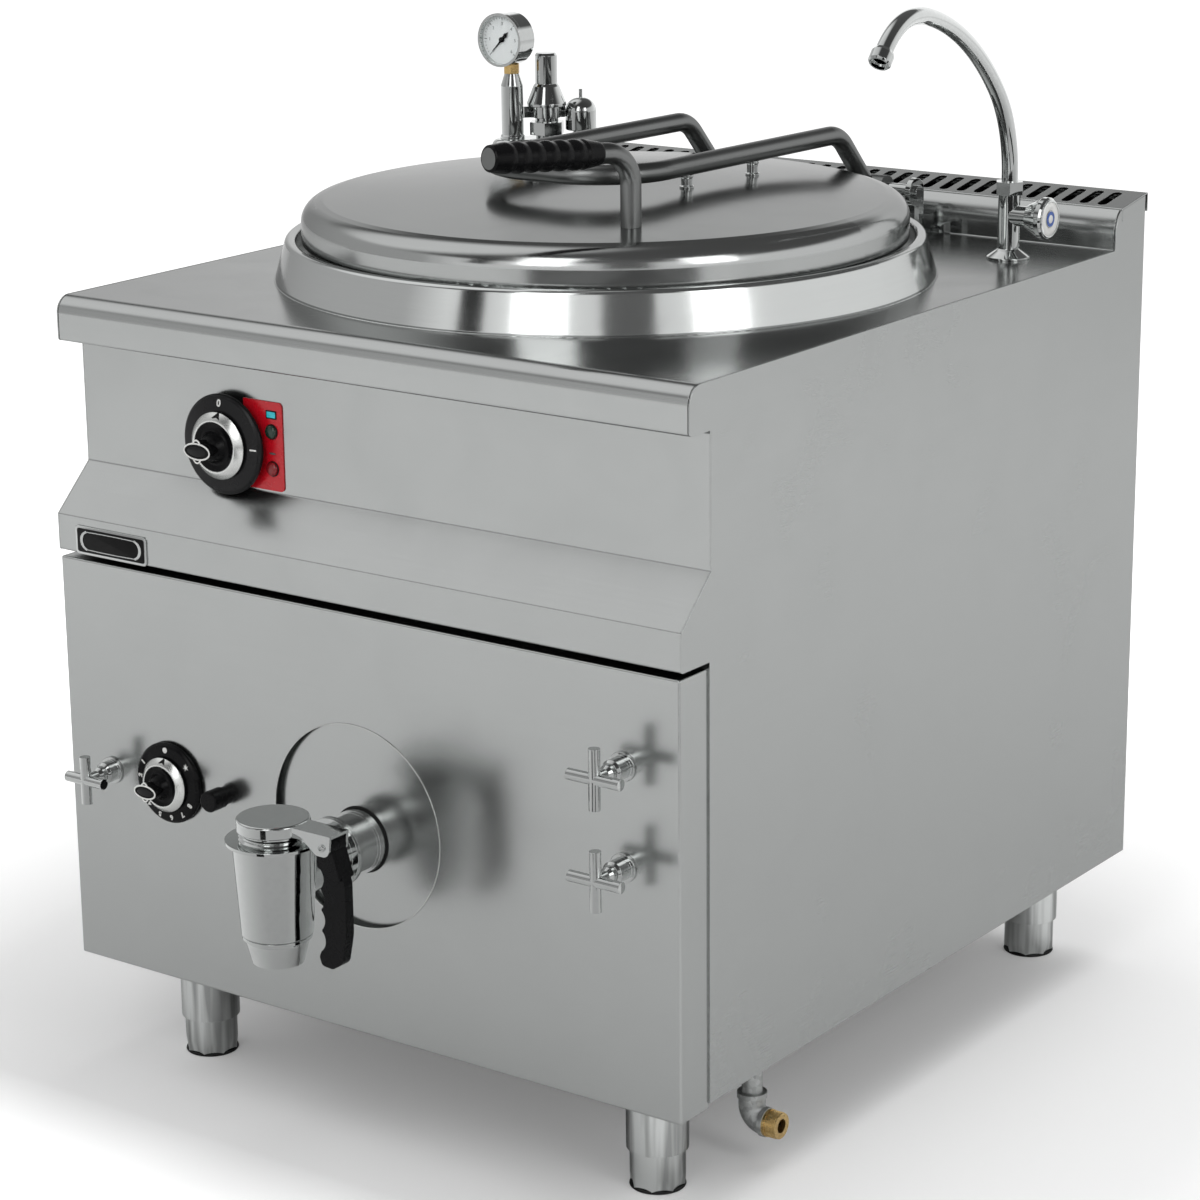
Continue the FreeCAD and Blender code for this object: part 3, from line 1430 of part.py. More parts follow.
def nodes():
    """Every sub-part by its name."""
    made = {
        "worktop": worktop(),
        "chimney_cover": chimney_cover(),
        "left_side_panel": left_side_panel(),
        "right_side_panel": mirrored(left_side_panel()),
        "control_panel": control_panel(),
        "front_panel": front_panel(),
        "rear_panel": rear_panel(),
        "base_frame": base_frame(),
        "foot_sleeves": Part.Compound([foot_sleeve(x, y) for _, x, y in foot_sites()]),
        "pan_vessel": pan_vessel(),
        "pan_collar": pan_collar(),
        "jacket_shell": jacket_shell(),
        "combustion_chamber": combustion_chamber(),
        "burner": burner(),
        "gas_control_valve": gas_control_valve(),
        "switch_body": switch_body(),
        "igniter_body": igniter_body(),
        "drain_pipe": drain_pipe(),
        "drain_recess_plate": drain_recess_plate(),
        "drain_tap_body": drain_tap_body(),
        "drain_cap": drain_cap(),
        "drain_lever": drain_lever(),
        "jacket_taps": jacket_taps(),
        "level_drain_pipe": level_drain_pipe(),
        "drain_elbow": drain_elbow(),
        "drain_nipple": drain_nipple(),
        "instrument_header": instrument_header(),
        "gauge_column": gauge_column(),
        "gauge_nut": gauge_nut(),
        "gauge_case": gauge_case(),
        "gauge_dial": gauge_dial(),
        "gauge_lens": gauge_lens(),
        "gauge_needle": gauge_needle(),
        "safety_valve": safety_valve(),
        "vent_bell": vent_bell(),
        "faucet_body": faucet_body(),
        "faucet_spout": faucet_spout(),
        "faucet_handwheel": faucet_handwheel(),
        "switch_bezel": switch_bezel(),
        "switch_knob": switch_knob(),
        "gas_bezel": gas_bezel(),
        "gas_knob": gas_knob(),
        "igniter_button": igniter_button(),
        "indicator_plate": indicator_plate(),
        "indicator_lamps": indicator_lamps(),
        "lid_shell": lid_shell(),
        "lid_inner_plate": lid_inner_plate(),
        "lid_frame": lid_frame(),
        "lid_standoffs": lid_standoffs(),
        "handle_bar": handle_bar(),
        "handle_grip": handle_grip(),
        "hinge_pin": hinge_pin(),
        "hinge_brackets": hinge_brackets(),
    }
    for name, x, y in foot_sites():
        made["leveller_" + name] = foot_leveller(x, y)
    for name, (x, z, reach, span) in zip(("level_upper", "level_lower", "fill"), tap_sites):
        made["tap_handle_" + name] = tap_handle(x, z, reach, span)
    return made


def main():
    os.makedirs("parts", exist_ok=True)
    for name, shape in nodes().items():
        whole = shape.copy()
        whole.translate(V(0, -origin_y, 0))
        whole.exportStep("parts/" + name + ".step")


main()
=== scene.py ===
import json
import math
import bmesh
import bpy
import numpy as np
from mathutils import Matrix, Vector


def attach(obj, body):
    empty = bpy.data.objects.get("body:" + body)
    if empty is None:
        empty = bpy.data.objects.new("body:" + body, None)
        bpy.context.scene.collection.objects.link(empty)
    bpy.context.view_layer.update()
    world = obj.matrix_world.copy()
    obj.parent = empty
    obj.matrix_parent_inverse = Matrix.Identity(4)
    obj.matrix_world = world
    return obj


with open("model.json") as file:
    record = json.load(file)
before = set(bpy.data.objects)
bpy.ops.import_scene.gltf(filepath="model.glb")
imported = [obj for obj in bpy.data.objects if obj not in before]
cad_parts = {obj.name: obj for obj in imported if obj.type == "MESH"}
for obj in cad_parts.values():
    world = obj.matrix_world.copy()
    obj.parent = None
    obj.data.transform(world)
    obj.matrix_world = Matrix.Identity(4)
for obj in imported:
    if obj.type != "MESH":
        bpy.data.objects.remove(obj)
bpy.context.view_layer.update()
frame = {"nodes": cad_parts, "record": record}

# Camera: the photograph's viewing angle, solved from the cabinet's edges.
CAMERA_PLACE = (2.1128, -2.85255, 1.5205)
CAMERA_AZIMUTH = 36.030
CAMERA_ELEVATION = 16.047
CAMERA_ROLL = -0.597
CAMERA_LENS = 102.16

# The drawing's face of the door lies this far in front of the middle (mm); the pan's axis (m)
DRAWN_Y = 370.75
PAN_AXIS_Y = 0.06925

# Places on the drawing in millimetres: across from the middle, back from the door's face, up
SWITCH_KNOB = (-195, 32.45, 714)
SWITCH_BEZEL = (-195, 33.95, 714)
GAS_KNOB = (-253, -9.55, 348.5)
GAS_BEZEL = (-253, -8.25, 348.5)
RED_PLATE_X, RED_PLATE_Y = -137.5, 48.8
NAME_PLATE = (-323.5, 0.5, 596)
GAUGE_DIAL = np.array([-345.0, 714.0, 1048.0])
HANDWHEEL_FACE = (371.1, 741.7, 897.0)
HANDWHEEL_CENTRE = (372.5, 741.7, 897.0)
RECESS_CENTRE = (0, 0, 350)
FERRULE_FACE = (0, 7, 334)
NIPPLE_END = (374.5, 197, 46)
PAN_CENTRE_Y = 440
WORKTOP_TOP = 850.1
FEET = {
    "front_left": (-302, 97), "front_right": (302, 97),
    "rear_left": (-302, 865), "rear_right": (302, 865),
}
REAR_PANEL_Y = 909

# The chimney cover: height of its front edge, that edge's place and its rise towards the back
COVER_HEIGHT, COVER_FRONT, COVER_RISE = 894.5, 853, 0.17
SLOTS, FIRST_SLOT, SLOT_PITCH, SLOT_MIDDLE = 34, -369.6, 22.4, 882.8

# Share of the floor's brightness that is its own: near the object, far off, before it, and in mirrors
FLOOR_LIFT, FLOOR_LIFT_FAR, FLOOR_LIFT_FRONT, FLOOR_LIFT_MIRRORED = 0.15, 0.75, 0.62, 0.42
ROOM_LIGHT = 0.45
DIM_CEILING = 0.11


def make_camera():
    """Camera with its local axes as columns: right and up, rolled, and the way back from the view."""
    a, e, r = (math.radians(v) for v in (CAMERA_AZIMUTH, CAMERA_ELEVATION, CAMERA_ROLL))
    back = Vector((math.sin(a) * math.cos(e), -math.cos(a) * math.cos(e), math.sin(e)))
    right = Vector((0, 0, 1)).cross(back).normalized()
    up = back.cross(right)
    rolled_right = right * math.cos(r) + up * math.sin(r)
    rolled_up = up * math.cos(r) - right * math.sin(r)
    data = bpy.data.cameras.new("camera")
    data.lens = CAMERA_LENS
    data.sensor_width = 36
    data.clip_start, data.clip_end = 0.05, 60
    camera = bpy.data.objects.new("camera", data)
    turn = Matrix((rolled_right, rolled_up, back)).transposed().to_4x4()
    camera.matrix_world = Matrix.Translation(CAMERA_PLACE) @ turn
    bpy.context.collection.objects.link(camera)
    bpy.context.scene.camera = camera


# Node trees


def add(tree, kind, values=None, **settings):
    """New node of a kind, with its settings. Values are numbers or sockets, by input name or place."""
    made = tree.nodes.new(kind)
    for key, value in settings.items():
        setattr(made, key, value)
    for key, value in (values or {}).items():
        socket = made.inputs[key]
        if isinstance(value, bpy.types.NodeSocket):
            tree.links.new(value, socket)
        else:
            socket.default_value = value
    return made


def arithmetic(tree, operation, *values):
    """Result socket of a Math node."""
    return add(tree, "ShaderNodeMath", dict(enumerate(values)), operation=operation).outputs[0]


def colour_mix(tree, factor, first, second):
    """Result socket of a colour mix."""
    return add(tree, "ShaderNodeMix", {0: factor, 6: first, 7: second}, data_type="RGBA").outputs[2]


def noise(tree, place, scale, detail, **more):
    """Strength socket of a noise."""
    values = {"Vector": place, "Scale": scale, "Detail": detail, **more}
    return add(tree, "ShaderNodeTexNoise", values).outputs["Fac"]


def product(tree, way, other):
    """Value socket of the dot product of two directions."""
    return add(tree, "ShaderNodeVectorMath", {0: way, 1: other}, operation="DOT_PRODUCT").outputs["Value"]


def remap(tree, value, low, high, to_low, to_high):
    """Result socket of a clamped change of range."""
    values = {0: value, 1: low, 2: high, 3: to_low, 4: to_high}
    return add(tree, "ShaderNodeMapRange", values).outputs[0]


def new_group(name, inputs, outputs):
    """Empty node group with its sockets, and the nodes that carry them."""
    group = bpy.data.node_groups.new(name, "ShaderNodeTree")
    for label, kind, default in inputs:
        socket = group.interface.new_socket(label, in_out="INPUT", socket_type="NodeSocket" + kind)
        if default is not None:
            socket.default_value = default
    for label, kind in outputs:
        group.interface.new_socket(label, in_out="OUTPUT", socket_type="NodeSocket" + kind)
    return group, add(group, "NodeGroupInput").outputs, add(group, "NodeGroupOutput").inputs


def make_grain_group():
    """Drawn-out noise: fine lines along one axis, in two sizes, for brushed sheet."""
    inputs = [("Vector", "Vector", None), ("Stretch", "Vector", (1, 1, 1)), ("Fineness", "Float", 300.0)]
    group, given, result = new_group("brushed grain", inputs, [("Value", "Float"), ("Broad", "Float")])
    values = {0: given["Vector"], 1: given["Stretch"]}
    drawn = add(group, "ShaderNodeVectorMath", values, operation="MULTIPLY").outputs[0]
    wide = arithmetic(group, "MULTIPLY", given["Fineness"], 0.1)
    group.links.new(noise(group, drawn, given["Fineness"], 3.0), result["Value"])
    group.links.new(noise(group, drawn, wide, 2.0), result["Broad"])
    return group


def make_smudge_group():
    """Soft patches of wiping and handling: a broad noise times a finer, bent one, spread to two limits."""
    inputs = [("Vector", "Vector", None)]
    inputs += [(label, "Float", value) for label, value in (("Scale", 6.0), ("Low", 0.0), ("High", 1.0))]
    group, given, result = new_group("wiped patches", inputs, [("Value", "Float")])
    broad = noise(group, given["Vector"], given["Scale"], 3.0)
    finer = arithmetic(group, "MULTIPLY", given["Scale"], 4.0)
    small = noise(group, given["Vector"], finer, 5.0, Distortion=0.8)
    both = arithmetic(group, "MULTIPLY", broad, small)
    spread = remap(group, both, 0.12, 0.42, given["Low"], given["High"])
    group.links.new(spread, result["Value"])
    return group


def make_edge_group():
    """Mask that is 1 on sharp edges: how far a rounded normal leaves the true one, broken up by noise."""
    inputs = [("Vector", "Vector", None), ("Radius", "Float", 0.0012), ("Break", "Float", 220.0)]
    group, given, result = new_group("edge wear", inputs, [("Mask", "Float"), ("Normal", "Vector")])
    rounded = add(group, "ShaderNodeBevel", {"Radius": given["Radius"]}, samples=4)
    true = add(group, "ShaderNodeNewGeometry").outputs["Normal"]
    off = arithmetic(group, "SUBTRACT", 1.0, product(group, rounded.outputs[0], true))
    edge = remap(group, off, 0.02, 0.25, 0.0, 1.0)
    broken = remap(group, noise(group, given["Vector"], given["Break"], 3.0), 0.35, 0.6, 0.25, 1.0)
    group.links.new(arithmetic(group, "MULTIPLY", edge, broken), result["Mask"])
    group.links.new(rounded.outputs[0], result["Normal"])
    return group


def make_pitting_group():
    """Fine rounded grains for moulded plastic, castings and powder: a noise and a cell pattern."""
    inputs = [("Vector", "Vector", None), ("Scale", "Float", 900.0), ("Cells", "Float", 0.3)]
    group, given, result = new_group("fine pitting", inputs, [("Height", "Float")])
    cells = add(group, "ShaderNodeTexVoronoi", {"Vector": given["Vector"], "Scale": given["Scale"]})
    grains = noise(group, given["Vector"], given["Scale"], 3.0)
    mixed = add(group, "ShaderNodeMix", {0: given["Cells"], 2: grains, 3: cells.outputs["Distance"]})
    group.links.new(mixed.outputs[0], result["Height"])
    return group


GRAIN = make_grain_group()
SMUDGE = make_smudge_group()
EDGE = make_edge_group()
PITTING = make_pitting_group()


def grouped(tree, group, values):
    """Places a shared group in a material and sets its inputs."""
    made = tree.nodes.new("ShaderNodeGroup")
    made.node_tree = group
    for key, value in values.items():
        if isinstance(value, bpy.types.NodeSocket):
            tree.links.new(value, made.inputs[key])
        else:
            made.inputs[key].default_value = value
    return made.outputs


def fresh_material(name):
    """Material with a bare Principled shader, its Object coordinates and its tree."""
    material = bpy.data.materials.new(name)
    material.use_nodes = True
    tree = material.node_tree
    tree.nodes.clear()
    shader = tree.nodes.new("ShaderNodeBsdfPrincipled")
    output = tree.nodes.new("ShaderNodeOutputMaterial")
    tree.links.new(shader.outputs[0], output.inputs["Surface"])
    place = add(tree, "ShaderNodeTexCoord").outputs["Object"]
    return material, tree, shader, place


def bumped(tree, shader, height, distance, normal=None):
    """Feeds a height through a Bump node into the shader's Normal."""
    values = {"Height": height, "Distance": distance, "Strength": 1.0}
    if normal is not None:
        values["Normal"] = normal
    bump = add(tree, "ShaderNodeBump", values)
    tree.links.new(bump.outputs[0], shader.inputs["Normal"])


def grey(value, warm=0.0):
    """Grey, warmer by a share, with the faint green that nickel steel has."""
    return (value * (0.985 + warm), value * 1.01, value * (1 - warm), 1)


def round_the_pan(tree, place):
    """Coordinates that run round the pan's upright axis: radius, height and a little of the angle."""
    centred = add(tree, "ShaderNodeMapping", {"Vector": place, "Location": (0, -PAN_AXIS_Y, 0)}).outputs[0]
    x, y, z = add(tree, "ShaderNodeSeparateXYZ", {0: centred}).outputs
    across = arithmetic(tree, "MULTIPLY", x, x)
    deep = arithmetic(tree, "MULTIPLY", y, y)
    radius = arithmetic(tree, "SQRT", arithmetic(tree, "ADD", across, deep))
    angle = arithmetic(tree, "MULTIPLY", arithmetic(tree, "ARCTAN2", y, x), 0.004)
    return add(tree, "ShaderNodeCombineXYZ", {0: radius, 1: angle, 2: z}).outputs[0]


def soft_streaks(tree, place, colour, dark, share):
    """Painted reflection: soft upright bands, as a polished tube mirrors, from a noise drawn out upwards that
    mixes in a dark tone.
    """
    drawn = add(tree, "ShaderNodeMapping", {"Vector": place, "Scale": (1, 1, 0.06)}).outputs[0]
    return colour_mix(tree, remap(tree, noise(tree, drawn, 75.0, 2.0), 0.40, 0.60, share, 0.0), colour, dark)


def sheet_steel(name, base, roughness, stretch, warm=0.0, depth=0.0000007, patch=0.03, rim=0.66, **more):
    """Brushed sheet: hair-fine grain in tone, roughness and height, wiped patches, brighter worn edges.

    More may be turned, for grain that runs round the pan, bands, a share of painted reflection streaks, and
    metal.
    """
    material, tree, shader, place = fresh_material(name)
    lie = round_the_pan(tree, place) if more.get("turned") else place
    grain = grouped(tree, GRAIN, {"Vector": lie, "Stretch": stretch, "Fineness": 2400.0})
    wiped = grouped(tree, SMUDGE, {"Vector": place, "Scale": 3.0, "Low": -patch, "High": patch})["Value"]
    wear = grouped(tree, EDGE, {"Vector": place, "Radius": 0.0008})
    tone = remap(tree, grain["Value"], 0.3, 0.7, 0.0, 1.0)
    colour = colour_mix(tree, tone, grey(base * 0.98, warm), grey(base * 1.02, warm))
    clouded = remap(tree, grain["Broad"], 0.35, 0.65, 0.0, 0.3)
    colour = colour_mix(tree, clouded, colour, grey(base * 0.965, warm))
    handled = remap(tree, wiped, -patch, patch, 0.0, 0.25)
    colour = colour_mix(tree, handled, colour, grey(base * 0.93, warm * 2))
    # Dark upright streaks mixed into the colour: painted reflection of a polished tube
    if more.get("bands"):
        colour = soft_streaks(tree, place, colour, grey(base * 0.2, warm), more["bands"])
    colour = colour_mix(tree, wear["Mask"], colour, grey(min(base * 1.25, 0.9), warm))
    tree.links.new(colour, shader.inputs["Base Color"])
    fine = remap(tree, grain["Value"], 0.3, 0.7, roughness - 0.012, roughness + 0.012)
    tree.links.new(arithmetic(tree, "ADD", fine, wiped), shader.inputs["Roughness"])
    shader.inputs["Metallic"].default_value = more.get("metal", 1.0)
    shader.inputs["Specular Tint"].default_value = (rim, rim, rim, 1)
    bumped(tree, shader, grain["Value"], depth, wear["Normal"])
    return material


def bright_plate(name, base, roughness):
    """Chrome plating: near mirror, deeper face on and brighter towards its edges as painted reflection, with
    polishing waves, water spots and rubbed edges.
    """
    material, tree, shader, place = fresh_material(name)
    wiped = grouped(tree, SMUDGE, {"Vector": place, "Scale": 28.0, "Low": 0.0, "High": 0.07})["Value"]
    wear = grouped(tree, EDGE, {"Vector": place, "Radius": 0.0006})
    spots = grouped(tree, PITTING, {"Vector": place, "Scale": 160.0, "Cells": 0.5})["Height"]
    tint = remap(tree, spots, 0.3, 0.6, 0.0, 0.12)
    # Painted reflection: darker where the surface faces the view, brighter where it turns away
    facing = add(tree, "ShaderNodeLayerWeight", {"Blend": 0.5}).outputs["Facing"]
    painted_edge_sheen = remap(tree, facing, 0.12, 0.75, 0.0, 1.0)
    colour = colour_mix(tree, painted_edge_sheen, grey(base * 0.62), grey(min(base * 1.5, 0.92)))
    colour = colour_mix(tree, tint, colour, grey(base * 0.8))
    colour = colour_mix(tree, wear["Mask"], colour, grey(min(base * 1.12, 0.95)))
    tree.links.new(colour, shader.inputs["Base Color"])
    tree.links.new(arithmetic(tree, "ADD", wiped, roughness), shader.inputs["Roughness"])
    shader.inputs["Metallic"].default_value = 1.0
    bumped(tree, shader, noise(tree, place, 45.0, 2.0), 0.00002, wear["Normal"])
    return material


def moulded(name, colour, roughness, rubbed):
    """Moulded plastic: fine eroded skin, handled patches that shine, paler rubbed edges."""
    material, tree, shader, place = fresh_material(name)
    wiped = grouped(tree, SMUDGE, {"Vector": place, "Scale": 24.0, "Low": -0.10, "High": 0.08})["Value"]
    wear = grouped(tree, EDGE, {"Vector": place, "Radius": 0.0006, "Break": 500.0})
    skin = grouped(tree, PITTING, {"Vector": place, "Scale": 1400.0, "Cells": 0.4})["Height"]
    toned = colour_mix(tree, remap(tree, skin, 0.2, 0.7, 0.0, 0.3), colour, rubbed)
    edged = colour_mix(tree, arithmetic(tree, "MULTIPLY", wear["Mask"], 0.5), toned, rubbed)
    tree.links.new(edged, shader.inputs["Base Color"])
    tree.links.new(arithmetic(tree, "ADD", wiped, roughness), shader.inputs["Roughness"])
    bumped(tree, shader, skin, 0.00003, wear["Normal"])
    return material


def enamel(name, colour, dark, roughness=0.25):
    """Glossy paint: slight orange-peel, dust in its tone, chipped and darker at the edges."""
    material, tree, shader, place = fresh_material(name)
    wiped = grouped(tree, SMUDGE, {"Vector": place, "Scale": 40.0, "Low": -0.05, "High": 0.08})["Value"]
    wear = grouped(tree, EDGE, {"Vector": place, "Radius": 0.0005, "Break": 700.0})
    peel = noise(tree, place, 600.0, 2.0)
    toned = colour_mix(tree, remap(tree, peel, 0.3, 0.7, 0.0, 0.15), colour, dark)
    edged = colour_mix(tree, wear["Mask"], toned, dark)
    tree.links.new(edged, shader.inputs["Base Color"])
    tree.links.new(arithmetic(tree, "ADD", wiped, roughness), shader.inputs["Roughness"])
    bumped(tree, shader, peel, 0.00002, wear["Normal"])
    return material


def yellow_metal(name, base, dark, roughness):
    """Turned brass: tool lines, tarnish in patches, bright edges."""
    material, tree, shader, place = fresh_material(name)
    stain = grouped(tree, SMUDGE, {"Vector": place, "Scale": 60.0, "Low": 0.0, "High": 0.6})["Value"]
    wear = grouped(tree, EDGE, {"Vector": place, "Radius": 0.0005})
    lines = grouped(tree, GRAIN, {"Vector": place, "Stretch": (1, 1, 12), "Fineness": 160.0})["Value"]
    toned = colour_mix(tree, stain, base, dark)
    edged = colour_mix(tree, wear["Mask"], toned, tuple(min(1, c * 1.3) for c in base))
    tree.links.new(edged, shader.inputs["Base Color"])
    rough = arithmetic(tree, "ADD", arithmetic(tree, "MULTIPLY", stain, 0.25), roughness)
    tree.links.new(rough, shader.inputs["Roughness"])
    shader.inputs["Metallic"].default_value = 1.0
    bumped(tree, shader, lines, 0.00003, wear["Normal"])
    return material


def galvanised(name, base):
    """Zinc coat: flat crystals of several greys, dull and slightly lumpy."""
    material, tree, shader, place = fresh_material(name)
    cells = add(tree, "ShaderNodeTexVoronoi", {"Vector": place, "Scale": 210.0})
    shade = add(tree, "ShaderNodeSeparateColor", {0: cells.outputs["Color"]}).outputs[0]
    skin = grouped(tree, PITTING, {"Vector": place, "Scale": 320.0, "Cells": 0.5})["Height"]
    colour = colour_mix(tree, shade, grey(base * 0.72), grey(base * 1.2))
    wear = grouped(tree, EDGE, {"Vector": place, "Radius": 0.001})
    colour = colour_mix(tree, wear["Mask"], colour, grey(base * 1.35))
    tree.links.new(colour, shader.inputs["Base Color"])
    tree.links.new(remap(tree, shade, 0.0, 1.0, 0.38, 0.6), shader.inputs["Roughness"])
    shader.inputs["Metallic"].default_value = 0.85
    bumped(tree, shader, skin, 0.00012, wear["Normal"])
    return material


def heated_steel(name, base):
    """Sheet that has been near the flame: straw and blue tints in soft bands, dull scale."""
    material, tree, shader, place = fresh_material(name)
    bands = grouped(tree, SMUDGE, {"Vector": place, "Scale": 5.0, "Low": 0.0, "High": 1.0})["Value"]
    grain = grouped(tree, GRAIN, {"Vector": place, "Stretch": (1, 1, 10), "Fineness": 200.0})["Value"]
    straw = colour_mix(tree, bands, grey(base), (base * 1.15, base * 0.9, base * 0.6, 1))
    blued = remap(tree, bands, 0.7, 1.0, 0.0, 0.6)
    colour = colour_mix(tree, blued, straw, (base * 0.6, base * 0.7, base * 0.95, 1))
    tree.links.new(colour, shader.inputs["Base Color"])
    tree.links.new(remap(tree, grain, 0.3, 0.7, 0.4, 0.62), shader.inputs["Roughness"])
    shader.inputs["Metallic"].default_value = 1.0
    bumped(tree, shader, grain, 0.00004)
    return material


def clear_glass(name):
    """Thin gauge glass with faint wiping marks."""
    material, tree, shader, place = fresh_material(name)
    wiped = grouped(tree, SMUDGE, {"Vector": place, "Scale": 50.0, "Low": 0.01, "High": 0.08})["Value"]
    tree.links.new(wiped, shader.inputs["Roughness"])
    shader.inputs["Base Color"].default_value = (0.96, 0.98, 0.98, 1)
    shader.inputs["Transmission Weight"].default_value = 1.0
    shader.inputs["IOR"].default_value = 1.05
    return material


ALONG_X = (0.012, 1.0, 1.0)
ALONG_Y = (1.0, 0.012, 1.0)
ALONG_Z = (1.0, 1.0, 0.012)
ROUND = (1.0, 1.0, 1.0)

looks = {
    "front steel": sheet_steel("front steel", 0.455, 0.23, ALONG_X),
    "side steel": sheet_steel("side steel", 0.455, 0.26, ALONG_Y),
    "top steel": sheet_steel("top steel", 0.47, 0.20, ALONG_X),
    "lid steel": sheet_steel("lid steel", 0.46, 0.17, ROUND, 0.0, 0.0000004, 0.02, turned=True, rim=0.58),
    "collar steel": sheet_steel("collar steel", 0.60, 0.13, ROUND, 0.0, 0.0000009, 0.03, turned=True),
    "pan steel": sheet_steel("pan steel", 0.60, 0.34, ROUND, 0.0, 0.000001, 0.04, turned=True, metal=0.7),
    # Its bands are painted reflection streaks
    "foot steel": sheet_steel("foot steel", 0.78, 0.16, ALONG_Z, bands=0.6),
    "tube steel": sheet_steel("tube steel", 0.20, 0.30, ROUND),
    "ring steel": sheet_steel("ring steel", 0.70, 0.26, ALONG_Z, 0.01),
    "frame steel": galvanised("frame steel", 0.36),
    "chamber steel": heated_steel("chamber steel", 0.20),
    "chrome": bright_plate("chrome", 0.55, 0.025),
    "valve alloy": galvanised("valve alloy", 0.5),
    "black plastic": moulded("black plastic", (0.003, 0.003, 0.0033, 1), 0.30, (0.012, 0.012, 0.013, 1)),
    "bezel plastic": moulded("bezel plastic", (0.006, 0.006, 0.0065, 1), 0.34, (0.02, 0.02, 0.021, 1)),
    "rubber": moulded("rubber", (0.008, 0.008, 0.008, 1), 0.6, (0.03, 0.03, 0.03, 1)),
    "red enamel": enamel("red enamel", (0.60, 0.006, 0.016, 1), (0.34, 0.006, 0.012, 1)),
    "lamp plastic": moulded("lamp plastic", (0.010, 0.03, 0.02, 1), 0.12, (0.02, 0.06, 0.04, 1)),
    "lamp red": moulded("lamp red", (0.20, 0.006, 0.010, 1), 0.12, (0.35, 0.02, 0.02, 1)),
    "window cyan": enamel("window cyan", (0.05, 0.62, 0.72, 1), (0.02, 0.35, 0.42, 1), 0.2),
    "brass": yellow_metal("brass", (0.66, 0.47, 0.20, 1), (0.36, 0.22, 0.08, 1), 0.22),
    "galvanised iron": galvanised("galvanised iron", 0.45),
    "dial white": enamel("dial white", (0.80, 0.80, 0.80, 1), (0.66, 0.66, 0.65, 1), 0.5),
    "print white": enamel("print white", (0.82, 0.82, 0.80, 1), (0.6, 0.6, 0.58, 1), 0.5),
    "print grey": enamel("print grey", (0.09, 0.09, 0.09, 1), (0.06, 0.06, 0.06, 1), 0.6),
    "ring blue": enamel("ring blue", (0.03, 0.10, 0.38, 1), (0.02, 0.05, 0.2, 1), 0.3),
    "gauge glass": clear_glass("gauge glass"),
    "needle black": enamel("needle black", (0.004, 0.004, 0.004, 1), (0.02, 0.02, 0.02, 1), 0.5),
    # Black for painted shade inside the chimney's slots
    "painted shade black": enamel("painted shade black", (0.004, 0.004, 0.004, 1), (0.008, 0.008, 0.008, 1), 0.9),
}
SHINE = {
    "black plastic": 0.10,
    "bezel plastic": 0.20,
    "rubber": 0.15,
    "needle black": 0.15,
    "painted shade black": 0.0,
}
for dark, level in SHINE.items():
    looks[dark].node_tree.nodes["Principled BSDF"].inputs["Specular IOR Level"].default_value = level

SLOT_LOOKS = {
    "satin_steel": "front steel",
    "polished_steel": "lid steel",
    "frame_steel": "frame steel",
    "chamber_steel": "chamber steel",
    "chrome": "chrome",
    "valve_alloy": "valve alloy",
    "black_plastic": "black plastic",
    "red_enamel": "red enamel",
    "lamp_plastic": "lamp plastic",
    "brass": "brass",
    "galvanised_iron": "galvanised iron",
    "dial_white": "dial white",
    "gauge_glass": "gauge glass",
    "needle_black": "needle black",
}
NODE_LOOKS = {
    "left_side_panel": "side steel",
    "right_side_panel": "side steel",
    "worktop": "top steel",
    "chimney_cover": "top steel",
    "lid_frame": "tube steel",
    "handle_bar": "tube steel",
    "pan_collar": "collar steel",
    "pan_vessel": "pan steel",
    "foot_sleeves": "foot steel",
    "switch_bezel": "bezel plastic",
    "igniter_body": "black plastic",
}
NODE_LOOKS.update({"leveller_" + site: "foot steel" for site in FEET})


def dress_nodes():
    """Gives every carried-over node its finish, by its own name or by its record slot."""
    slots = {part["node"]: part["material_slot"] for part in frame["record"]["subparts"]}
    for name, piece in frame["nodes"].items():
        look = looks[NODE_LOOKS.get(name, SLOT_LOOKS[slots[name]])]
        piece.data.materials.clear()
        piece.data.materials.append(look)


# Floor, world, lamps and the dark cards that metal mirrors


def make_floor():
    """Large pale disc: rings of growing radius, flat, on the ground.

    It gives light of its own, more with distance, so that it turns white away from the object.
    """
    around = once_round(96)
    radii = np.array([0.001, 1.0, 4.0, 14.0])[:, None]
    x, y = radii * np.cos(around), radii * np.sin(around)
    points = np.stack([x, y, np.full_like(x, -0.0005)], axis=-1)
    floor = surface("floor", points, round_v=True)
    material, tree, shader, place = fresh_material("pale floor")
    tone = colour_mix(tree, noise(tree, place, 4.0, 3.0), (0.80, 0.80, 0.80, 1), (0.82, 0.82, 0.82, 1))
    tree.links.new(tone, shader.inputs["Base Color"])
    shader.inputs["Roughness"].default_value = 0.8
    shader.inputs["Specular IOR Level"].default_value = 0.0
    shader.inputs["Emission Color"].default_value = (1, 1, 1, 1)
    path = add(tree, "ShaderNodeLightPath").outputs
    away = add(tree, "ShaderNodeVectorMath", {0: place}, operation="LENGTH").outputs["Value"]
    near = remap(tree, away, 0.7, 1.5, FLOOR_LIFT, FLOOR_LIFT_FAR)
    deep = add(tree, "ShaderNodeSeparateXYZ", {0: place}).outputs[1]
    near = arithmetic(tree, "MAXIMUM", near, remap(tree, deep, -0.40, -0.60, 0.0, FLOOR_LIFT_FRONT))
    mirrored = remap(tree, away, 1.0, 3.4, 0.0, FLOOR_LIFT_MIRRORED)
    lift = arithmetic(tree, "MULTIPLY", path["Is Camera Ray"], near)
    lift = arithmetic(tree, "ADD", lift, arithmetic(tree, "MULTIPLY", path["Is Glossy Ray"], mirrored))
    tree.links.new(lift, shader.inputs["Emission Strength"])
    floor.data.materials.append(material)


